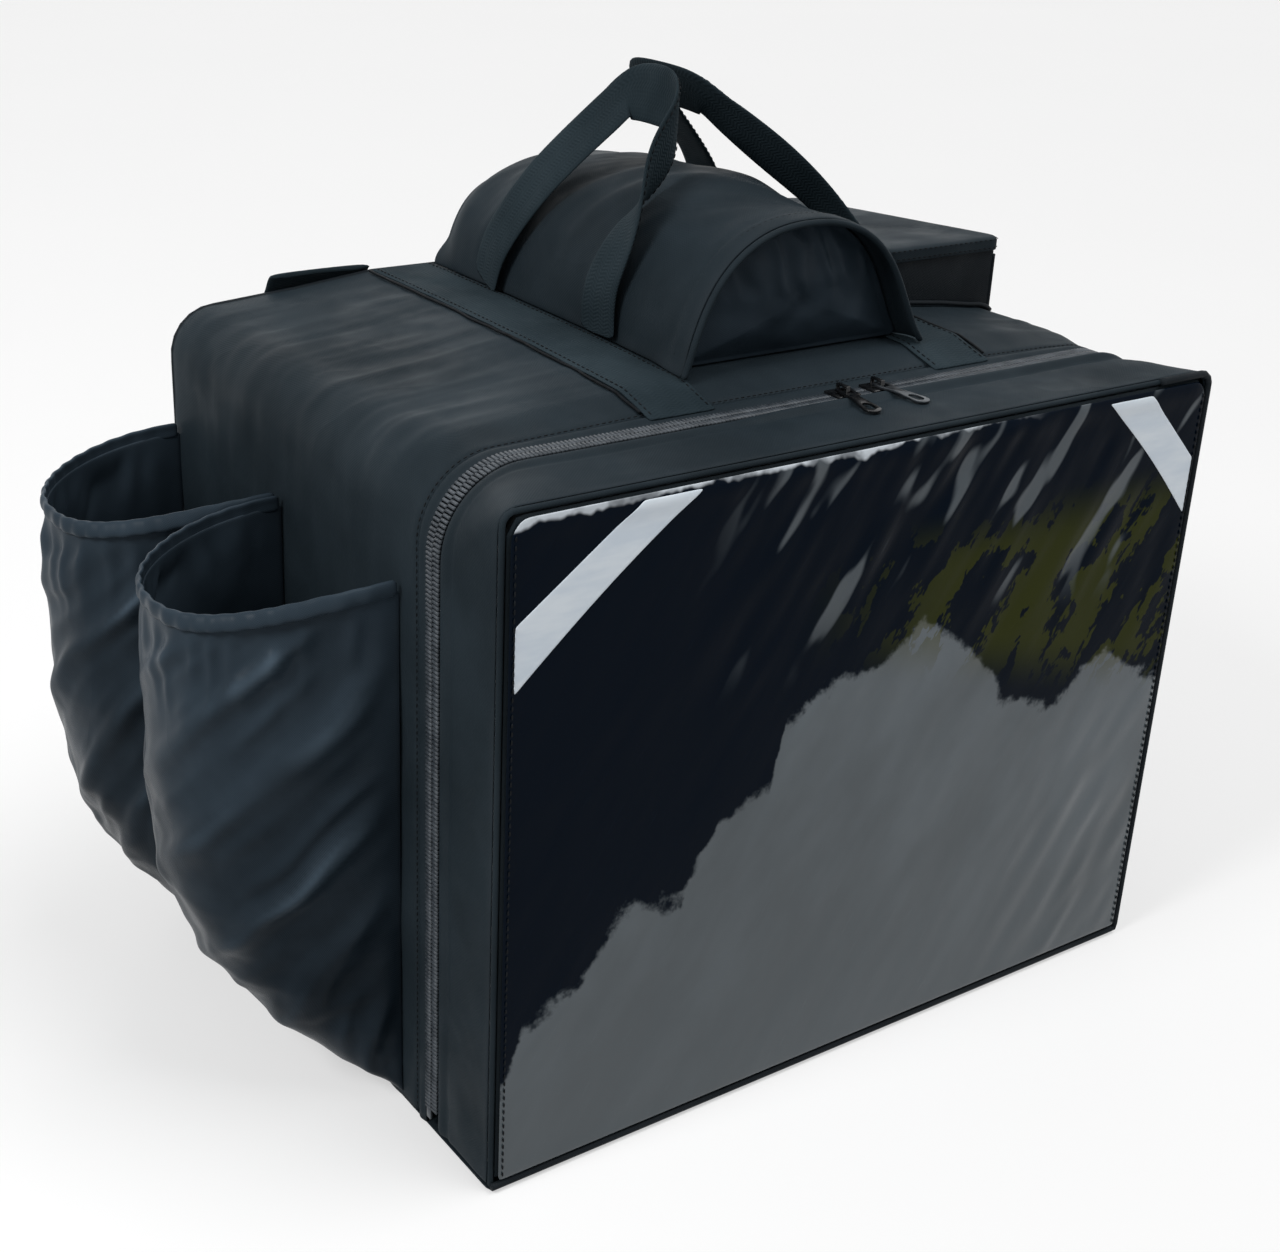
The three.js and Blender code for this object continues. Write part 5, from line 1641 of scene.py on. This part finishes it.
@dataclass
class CarryHandles:
    """Two webbing loops and the strips that they rise from."""

    form: BagForm = FORM
    width: float = 31.0
    thickness: float = 2.2
    apex_height: float = 114.0
    back_y: float = 109.0
    strip_width: float = 40.0
    # Shares of a leg's way, from its foot to the apex: up, across, along and its bow.
    rises: tuple[float, ...] = (0.0, 0.24, 0.56, 0.9, 1.0)
    leans: tuple[float, ...] = (0.0, 0.03, 0.3, 0.82, 1.0)
    closes: tuple[float, ...] = (0.0, 0.17, 0.48, 0.85, 1.0)
    bows: tuple[float, ...] = (0.0, 0.2, 1.0, 0.8, 0.0)

    def loop(self, name: str, feet: Vector, apex: Vector, bulge: float, twist: float) -> None:
        """One handle, from its back foot over its apex to its front foot.

        Args:
            name: left or right.
            feet: Place of the front foot; the back foot stands straight behind it.
            apex: Place across of the apex, and the depths of its front and its back end.
            bulge: How far the front leg bows along the bag.
            twist: How much the front leg is turned on itself, in degrees.
        """
        x, apex_x, seat = feet.x, apex.x, feet.z

        def leg(base_y: float, apex_y: float, bow: float) -> list[Vector]:
            """One leg's knots, from its foot to the apex."""
            return [
                Vector((mix(x, apex_x, a), mix(base_y, apex_y, b) + bow * c, seat + self.apex_height * rise))
                for rise, a, b, c in zip(self.rises, self.leans, self.closes, self.bows)
            ]

        knots = leg(self.back_y, apex.z, 0.0) + leg(feet.y, apex.y, bulge)[::-1]
        path = through(knots, 72)
        lean = Vector((apex_x - x, 0, self.apex_height)).normalized()
        normal = REAR.cross(lean)
        faces = []
        for i, ahead in enumerate(directions(path)):
            turn = math.radians(twist) * hump(i / (len(path) - 1), 0.68, 0.12)
            faces.append(Matrix.Rotation(turn, 3, ahead) @ normal)
        maker = Cloth(f"carry_handle_{name}", f"handle_{name}", "webbing", Finish.WEBBING)
        bm = maker.band(path, faces, self.width, self.thickness, 6, 0.5, 0.15)
        for vert in bm.verts:
            vert.co.z = max(vert.co.z, (seat - 0.5) * MM)
        maker.finish(bm, 0, 1, [f"handle_{name}"])
        for tag, offset in (("a", -0.42), ("b", 0.42)):
            points, outs = [], []
            for spot, run, out in list(zip(path, directions(path), faces))[4:-4]:
                side = run.cross(out).normalized()
                face = side.cross(run).normalized()
                points.append(spot + side * (offset * self.width) + face * (self.thickness * 0.5 + 0.25))
                outs.append(face)
            sew(f"handle_stitches_{name}_{tag}", f"handle_{name}", "webbing", points, outs, 4.4, 0.4)

    def strips(self) -> None:
        """The ribbed strips over the top panel, stitched along both edges."""
        form = self.form
        for name, from_x in (("left", -103.0), ("right", 81.0)):
            strip = Cloth(f"top_strip_{name}", "bag", "webbing", Finish.WEBBING)

            def place(across: float, along: float) -> Vector:
                """A point of the strip, which lies on the top panel."""
                y = mix(-110.0, 171.0, along)
                x = from_x + self.strip_width * across + 0.5 * wander(y / 25, from_x)
                return Vector((x, y, form.top_z(x, y) + 1.7 + 0.35 * wander(x / 15, y / 18)))

            bm = strip.grid(10, 80, (self.strip_width, 281), place, Vector((0, 30, 200)), 2)
            strip.finish(bm, 1.3, 1, [f"top_webbing_{name}"])
            for tag, x in (("a", from_x + 3.0), ("b", from_x + self.strip_width - 3.0)):
                depths = [mix(-107, 168, i / 80) for i in range(81)]
                points = [Vector((x, y, form.top_z(x, y) + 1.9)) for y in depths]
                sew(f"strip_stitches_{name}_{tag}", "bag", "webbing", points, [UP] * 81, 4.2, 0.4)

    def build(self) -> None:
        """Makes both handles and both strips."""
        self.strips()
        self.loop("left", Vector((-64.0, -6.0, 372.1)), Vector((-13.0, 8.0, 42.0)), -14.0, 62.0)
        self.loop("right", Vector((93.0, -58.0, 372.0)), Vector((17.0, 28.0, 72.0)), 0.0, -15.0)


@dataclass
class SidePockets:
    """Four gathered pockets with elastic hems."""

    form: BagForm = FORM
    half: float = 63.8
    foot: float = 5.0
    height: float = 286.6
    depth: float = 102.0
    width: float = 130.0
    girth: float = 215.0
    drop: float = 284.0
    hem_z: float = 293.2
    hem_x: float = 226.8
    roundness: float = 2.4
    height_shares: tuple[float, ...] = (0.0, 0.055, 0.16, 0.26, 0.42, 0.62, 0.83, 1.0)
    depth_shares: tuple[float, ...] = (0.022, 0.3, 0.57, 0.77, 0.94, 1.0, 0.99, 0.95)

    def folds(self, across: float, along: float, seed: float) -> float:
        """How far the pocket's cloth stands out in its folds, in millimetres.

        Args:
            across: Share of the way from the front seam to the rear seam.
            along: Share of the way up.
            seed: Makes each pocket's folds its own.

        Returns:
            The distance outwards.
        """
        u, v = across * self.girth, along * self.drop
        total = 0.0
        for near, own, share, slope in (
            (u, seed, 1 - smooth(95, 150, u), 0.95),
            (self.girth - u, seed + 5.0, smooth(95, 150, u), 0.3),
        ):
            # Long pleats run down and away from the gathered mouth and the upper corner.
            bend = 0.3 * wander(near / 90 + own, v / 120, own) + 0.08 * wander(near / 26, v / 50, own + 3)
            lean = (near + slope * v) / 58 + bend + own * 0.37
            pleat = ridge(lean, 4.0) * clamp(0.7 + 0.5 * wander(near / 50, v / 60, own + 7))
            between = ridge(lean * 2.6 + 0.3, 2.2) * clamp(0.35 + 0.9 * wander(near / 30, v / 45, own + 8))
            total += share * (9.0 * pleat + 3.4 * between)
        low = (1 - smooth(70, 130, v)) * smooth(8, 30, v)
        small = wander(u / 30, v / 46, seed + 9) * 1.2
        crumple = 2.6 * ridge((v + 0.35 * u) / 24 + 0.6 * wander(u / 34, v / 30, seed + 2), 2.0) * low
        crumple *= clamp(0.4 + 0.9 * wander(u / 24, v / 24, seed + 4))
        gather = 2.2 * ridge(u / 13.5 + 0.6 * wander(u / 20, v / 60, seed), 1.6)
        gather *= 1 - smooth(0, 70, self.drop - v)
        edges = smooth(0, 0.07, across) * smooth(0, 0.07, 1 - across) * smooth(0, 0.05, along)
        outermost = 1 - 0.45 * hump(u, 100, 42)
        loose = total * outermost * (1 - 0.5 * smooth(250, 284, v)) + small + crumple + gather - 2.6
        return edges * mix(loose, -0.8, smooth(262, 283, v))

    def sag(self, across: float) -> float:
        """How far the mouth hangs below its seams, in millimetres."""
        return 13.0 * math.sin(math.pi * clamp(across)) ** 1.5

    def plan(self, across: float, depth: float, side: int, middle: float) -> tuple[Vector, Vector]:
        """A point of the pocket's plan and its outward direction, at height 0.

        Args:
            across: Share of the way from the front seam to the rear seam.
            depth: How far the pocket stands out there.
            side: -1 on the left of the bag, 1 on the right.
            middle: Depth of the pocket's middle along the bag.

        Returns:
            The point and its outward direction.
        """
        angle = math.pi * across
        along, out = squared(angle, 2 / self.roundness)
        spot = Vector((side * (self.form.half_width + 0.3 + depth * out), middle - self.half * along, 0))
        return spot, Vector((side * math.sin(angle), -math.cos(angle) * 0.9, 0)).normalized()

    def pocket(self, name: str, side: int, start: float, seed: float) -> None:
        """One pocket with its hem.

        Args:
            name: Its place in the bag's own words.
            side: -1 on the left of the bag, 1 on the right.
            start: Depth of its front seam.
            seed: Makes its folds its own.
        """
        middle = start + self.width / 2
        maker = Cloth(f"gathered_pocket_{name}", "bag", "satin", Finish.SATIN)

        def place(across: float, along: float) -> Vector:
            """A point of the pocket, kept clear of the bag and of the next pocket."""
            share = steps_between(self.depth_shares, self.height_shares, along)
            spot, out = self.plan(across, self.depth * share, side, middle)
            away = self.folds(across, along, seed) * min(1.0, share * 1.6) - 0.8
            point = spot + out * away
            point.x = side * max(abs(point.x), self.form.half_width + 0.4)
            point.y = clamp(point.y, start + 0.8, start + self.width - 0.8)
            point.z = self.foot + self.height * along + 0.2 - self.sag(across) * along**5
            return point

        def crest(across: float, along: float) -> float:
            """Painted highlight on the folds' crests by their height, and painted shade in their valleys,
            darker towards the foot.
            """
            high = smooth(1.2, 5.6, self.folds(across, along, seed))
            valley = mix(-0.46, -0.18, smooth(0.2, 0.95, along))
            return valley + mix(0.35, 0.66, smooth(0.1, 0.9, along)) * high

        hub = Vector((side * 226, middle, 160))
        bm = maker.grid(110, 96, (300, 300), place, hub, 3, crest=crest)
        maker.finish(bm, 0.9, 1, [f"pocket_{name}"])
        hem = Cloth(f"pocket_hem_{name}_elastic", "bag", "satin", Finish.SATIN, -0.15)
        path, faces = [], []
        for i in range(121):
            across = i / 120
            spot, out = self.plan(across, self.depth * 0.95, side, middle)
            edges = smooth(0, 0.06, across) * smooth(0, 0.06, 1 - across)
            pleat = 1.0 * ridge(across * self.girth / 9.5 + 0.4 * wander(across * 9, seed), 1.2) * edges
            point = spot + out * (pleat - 1.4)
            point.y = clamp(point.y, start + 1.4, start + self.width - 1.4)
            x, z = side * max(abs(point.x), self.hem_x), self.hem_z - self.sag(across)
            path.append(Vector((x, point.y, z)))
            # The front end of the hem is rolled inwards and shows its upper side.
            tilt = math.radians(28) * smooth(0.03, 0.16, across) * (1 - smooth(0.3, 0.5, across))
            faces.append(out * math.cos(tilt) + UP * math.sin(tilt))
        bm = hem.band(path, faces, 8.6, 2.6, 4, 0.6)
        hem.finish(bm, 0, 1, [f"pocket_hem_{name}"])

    def build(self) -> None:
        """Makes the four pockets."""
        front, rear = -90.0, 40.0
        self.pocket("left_front", -1, front, 0.0)
        self.pocket("left_rear", -1, rear, 3.1)
        self.pocket("right_front", 1, front, 6.7)
        self.pocket("right_rear", 1, rear, 11.3)


@dataclass
class BackCarry:
    """The back pad, the two shoulder straps, and the locks and webbing at their feet."""

    form: BagForm = FORM
    strap_x: float = 133.0
    strap_top_z: float = 334.0
    strap_foot_z: float = 112.0
    strap_half: float = 30.5
    lock_x: float = 112.0
    belt_width: float = 25.0
    pad_middle_z: float = 183.0
    pad_skin_y: float = 177.6
    channel_x: float = 62.0
    channel_z: tuple[float, float] = (138.0, 228.0)
    anchor_half: float = 22.8

    def pad(self) -> None:
        """The back cushion, swollen by its filling and then sewn down in channels."""
        maker = Cloth("back_cushion", "bag", "mesh", Finish.MESH)

        def place(across: float, along: float) -> Vector:
            """A point of the unfilled pad, once round and from its front to its rear."""
            turn = 2 * math.pi * across
            cx, cz = squared(turn, 0.3)
            front = along < 0.5
            reach = clamp((along if front else 1 - along) * 2) ** 0.8
            x, z = 147.0 * cx * reach, self.pad_middle_z + 134.0 * cz * reach
            return Vector((x, 176.2 if front else 182.4, z))

        bm = maker.grid(120, 40, (860, 150), place, Vector((0, 179, 183)), 5, True)
        merge(bm)
        bmesh.ops.recalc_face_normals(bm, faces=bm.faces)
        bm = Stuffing().swell(bm)
        for vert in bm.verts:
            x, y, z = (c / MM for c in vert.co)
            if y > self.pad_skin_y - 0.1:
                drop = 4.6 * hump(abs(x), self.channel_x, 6.0)
                if abs(x) < self.channel_x:
                    drop = max(drop, *(4.0 * hump(z, at, 6.0) for at in self.channel_z))
                vert.co.y = max(self.pad_skin_y, y - drop) * MM
            vert.co.y = clamp(vert.co.y, 175.5 * MM, 189.5 * MM)
        cushion = maker.finish(bm, 0, 1, ["back_pad"])
        edge = []
        for i in range(121):
            turn = 2 * math.pi * i / 120
            cx, cz = squared(turn, 0.3)
            edge.append(Vector((148.4 * cx, 177.2, self.pad_middle_z + 135.4 * cz)))
        pipe("back_cushion_piping", "bag", "webbing", edge, 1.6)

    def strap_line(self, side: int) -> list[Vector]:
        """Centre line of one shoulder strap, from its top to its foot."""
        shares = (0.0, 0.35, 0.78, 1.0, 0.92, 0.6, 0.0)
        knots = []
        for i, share in enumerate(shares):
            down = i / (len(shares) - 1)
            x, y = side * mix(self.strap_x, self.lock_x, down), 195.3 + share * 34 + mix(0, 6, down)
            knots.append(Vector((x, y, mix(self.strap_top_z, self.strap_foot_z, down))))
        return through(knots, 48)

    def straps(self) -> None:
        """Padded straps with bound edges and a webbing band down the middle."""
        for name, side in (("left", -1), ("right", 1)):
            path = self.strap_line(side)
            outs = [RIGHT.cross(run).normalized() * -1 for run in directions(path)]
            outs = [o if o.y > 0 else -o for o in outs]
            maker = Cloth(f"shoulder_strap_{name}", f"strap_{name}", "mesh", Finish.MESH)
            count = len(path)
            sides = 24

            def place(around: float, along: float) -> Vector:
                """A point of the unfilled strap, round it and down it."""
                i = min(count - 1, round(along * (count - 1)))
                turn = 2 * math.pi * (round(around * sides) % sides) / sides
                wide, deep = squared(turn, 0.55)[0], squared(turn, 0.7)[1]
                end = min(along, 1 - along)
                taper = 0.55 + 0.45 * smooth(0, 0.07, end)
                return path[i] + Vector((wide * self.strap_half, 0, 0)) + outs[i] * (deep * 4.6 * taper)

            bm = maker.grid(sides, count - 1, (150, 245), place, path[count // 2], 2, True)
            close(bm)
            bm = Stuffing(voxel=5.0, cap=1.8).swell(bm)
            strap = maker.finish(bm, 0, 1, [f"strap_{name}"])
            for tag, edge in (("inner", -1), ("outer", 1)):
                rim = [p + RIGHT * (edge * (self.strap_half + 0.7)) for p in path[1:-1]]
                pipe(f"strap_binding_{name}_{tag}", f"strap_{name}", "webbing", rim, 1.7, 8, 1.5)
            belt = Cloth(f"strap_belt_{name}", f"strap_{name}", "webbing", Finish.WEBBING)
            line = [p + o * 6.2 for p, o in zip(path, outs)]
            belt.finish(belt.band(line[1:-1], outs[1:-1], self.belt_width, 1.5), 0, 1)
            self.root(name, side)
            self.foot(name, side)

    def root(self, name: str, side: int) -> None:
        """The strap's upper end, sewn over the top of the back panel."""
        form = self.form
        centre = side * self.strap_x
        seat = max(form.top_z(centre - 33, 175), form.top_z(centre + 33, 175)) + 2.4
        knots = [(173.4, seat), (176.6, seat - 1.0), (184.0, seat - 12.0), (194.0, 352.0), (198.5, 341.6)]
        knots = [Vector((centre, y, z)) for y, z in knots]
        path = through(knots, 18)
        outs = [RIGHT.cross(run) for run in directions(path)]
        faces = [out if out.z + out.y > 0 else -out for out in outs]
        maker = Cloth(f"strap_top_{name}", "bag", "webbing", Finish.WEBBING)
        maker.finish(maker.band(path, faces, 64, 3.4, 8, 0.4), 0, 1, [f"strap_root_{name}"])
        knots = [(196.2, 353.4), (200.9, 342.8), (204.6, 333.5), (206.6, 325.0), (208.4, 315.5)]
        path = through([Vector((centre, y, z)) for y, z in knots], 20)
        tab = Cloth(f"strap_joining_{name}", "bag", "webbing", Finish.WEBBING)
        piece = tab.finish(tab.band(path, [Vector((0, 0.94, 0.34))] * 20, 56, 1.5, 8, 0.3), 0, 1, ride=False)
        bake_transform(piece)
        for tag, y, z in (("a", 208.1, 322.0), ("b", 208.8, 318.5)):
            row = [Vector((centre + mix(-25.5, 25.5, i / 24), y, z)) for i in range(25)]
            sew(f"joining_stitches_{name}_{tag}", f"strap_{name}", "webbing", row, [REAR] * 25, 3.6, 0.4)

    def foot(self, name: str, side: int) -> None:
        """The ladder lock, the lower webbing and its sewn patch."""
        centre = side * self.lock_x
        lock = f"ladder_lock_{name}"
        rounded_copy(lock, f"strap_lock_{name}", lock, "plastic", Finish.PLASTIC, 1.1)
        knots = [(179.5, 12.4), (179.6, 26.0), (189.5, 52.0), (199.0, 78.6)]
        path = through([Vector((centre, y, z)) for y, z in knots], 26)
        web = Cloth(f"strap_tail_{name}", "bag", "webbing", Finish.WEBBING)
        bm = web.band(path, [REAR] * 26, self.belt_width, 1.5)
        piece = web.finish(bm, 0, 0, [f"lower_webbing_{name}"], ride=False)
        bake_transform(piece)
        patch = Cloth(f"webbing_patch_{name}", "bag", "webbing", Finish.WEBBING)

        def place(across: float, along: float) -> Vector:
            """A point of the patch, thinner at its edges."""
            half, low, high = self.anchor_half, 9.2, 42.8
            x, z = mix(centre - half, centre + half, across), mix(low, high, along)
            near = min(half - abs(x - centre), z - low, high - z)
            return Vector((x, 176.8 + 1.2 * smooth(0, 3, near), z))

        bm = patch.grid(20, 16, (46, 34), place, Vector((0, 0, 26)), 3)
        patch.finish(bm, 1.2, 1, [f"webbing_anchor_{name}"])
        crossed = [(-19, 13), (-19, 39), (19, 39), (19, 13), (-19, 13), (19, 39), (19, 13), (-19, 39)]
        points = [Vector((centre + x, 178.15, z)) for x, z in crossed]
        sew(f"patch_stitches_{name}", "bag", "webbing", points, [REAR] * len(points), 3.6, 0.4)

    def build(self) -> None:
        """Makes every piece on the back."""
        self.pad()
        self.straps()


@dataclass
class Studio:
    """Plain pale floor, soft lamps and the camera."""

    camera_at: tuple[float, float, float] = (-0.6190, -0.8128, 0.6492)
    azimuth: float = -36.29
    elevation: float = 24.33
    roll: float = 2.91
    lens: float = 54.15
    floor_glow: float = 0.5
    surround: float = 0.3
    # Each lamp's name, kind, place, strength, and size (a sun's in degrees, the other's in metres).
    lamps: tuple[tuple[str, str, tuple[float, float, float], float, float], ...] = (
        ("key", "SUN", (0.7, -0.7, 2.4), 1.5, 38),
        ("side", "AREA", (-1.9, -0.3, 1.9), 31, 0.8),
        ("rear", "SUN", (0.6, 2.3, 0.8), 0.6, 60),
    )

    @staticmethod
    def seen_directly(book: NodeBook) -> bpy.types.NodeSocket:
        """1 for what the camera sees, also in metal and through glass, and 0 for other light."""
        rays = book.add("ShaderNodeLightPath")
        seen = book.math("MAXIMUM", rays.outputs["Is Camera Ray"], rays.outputs["Is Glossy Ray"])
        return book.math("MAXIMUM", seen, rays.outputs["Is Transmission Ray"])

    def camera(self) -> None:
        """Sets the camera at the photograph's viewing angle."""
        a, e, r = (math.radians(v) for v in (self.azimuth, self.elevation, self.roll))
        back = Vector((math.sin(a) * math.cos(e), -math.cos(a) * math.cos(e), math.sin(e)))
        right = Vector((math.cos(a), math.sin(a), 0))
        up = back.cross(right)
        right, up = right * math.cos(r) + up * math.sin(r), up * math.cos(r) - right * math.sin(r)
        data = bpy.data.cameras.new("camera")
        data.lens = self.lens
        data.sensor_width = 36.0
        data.clip_start, data.clip_end = 0.02, 60.0
        cam = shown("camera", data)
        turn = Matrix((right, up, back)).transposed().to_4x4()
        cam.matrix_world = Matrix.Translation(self.camera_at) @ turn
        bpy.context.scene.camera = cam

    def floor(self) -> None:
        """The pale floor."""
        bm = bmesh.new()
        bmesh.ops.create_grid(bm, x_segments=8, y_segments=8, size=45.0)
        mesh = bpy.data.meshes.new("floor")
        bm.to_mesh(mesh)
        bm.free()
        floor = shown("floor", mesh)
        material, book, shader = new_material("pale_floor")
        where = book.add("ShaderNodeTexCoord").outputs["Object"]
        cloudy = book.grain(where, 1.5, 2.0)
        seen = self.seen_directly(book)
        pale = book.tint(cloudy, (0.93, 0.93, 0.93, 1), (0.96, 0.96, 0.96, 1))
        book.feed(shader.inputs["Base Color"], book.tint(seen, (0.5, 0.5, 0.5, 1), pale))
        settle(shader, {"Roughness": 0.9, "Specular IOR Level": 0.1})
        glow = book.add("ShaderNodeEmission")
        blend = book.add("ShaderNodeMixShader")
        book.feed(blend.inputs[0], book.times(seen, self.floor_glow))
        book.feed(blend.inputs[1], shader.outputs[0])
        book.feed(blend.inputs[2], glow.outputs[0])
        book.feed(material.node_tree.nodes["Material Output"].inputs["Surface"], blend.outputs[0])
        mesh.materials.append(material)

    def lamp(self, name: str, kind: str, at: Vector, aim: Vector, energy: float, size: float) -> None:
        """One lamp.

        Args:
            name: Its name.
            kind: SUN or AREA.
            at: Where it stands.
            aim: Where it points.
            energy: Its strength.
            size: Its angle in degrees for a sun, or its width in metres.
        """
        data = bpy.data.lights.new(name, kind)
        data.energy = energy
        if kind == "SUN":
            data.angle = math.radians(size)
        else:
            data.shape = "DISK"
            data.size = size
        lamp = shown(name, data)
        lamp.location = at
        lamp.rotation_mode = "QUATERNION"
        lamp.rotation_quaternion = (aim - at).to_track_quat("-Z", "Y")

    def light(self) -> None:
        """A pale surround, a broad soft key from above, and a soft lamp beside and behind the bag."""
        world = bpy.data.worlds.new("surround")
        bpy.context.scene.world = world
        world.use_nodes = True
        book = NodeBook(world.node_tree)
        shade = world.node_tree.nodes["Background"]
        seen = self.seen_directly(book)
        book.feed(shade.inputs["Strength"], book.between(seen, 0.0, 1.0, self.surround, 1.0))
        shade.inputs["Color"].default_value = (1, 1, 1, 1)
        for name, kind, at, energy, size in self.lamps:
            self.lamp(name, kind, Vector(at), Vector((0, 0, 0.2)), energy, size)

    def build(self) -> None:
        """Makes the stage."""
        self.camera()
        self.floor()
        self.light()
        bpy.context.scene.view_settings.view_transform = "Standard"


def main() -> None:
    """Builds the whole backpack, sub-assembly by sub-assembly, and reports each piece."""
    logging.basicConfig(level=logging.INFO, format="%(name)s: %(message)s")
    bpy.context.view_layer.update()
    Studio().build()
    for part in (
        OuterBody(),
        FrontDoor(),
        Zipper(),
        TunnelPouch(),
        BoxPouch(),
        CarryHandles(),
        SidePockets(),
        BackCarry(),
    ):
        log.info("building %s", type(part).__name__)
        part.build()


if __name__ == "__main__":
    main()
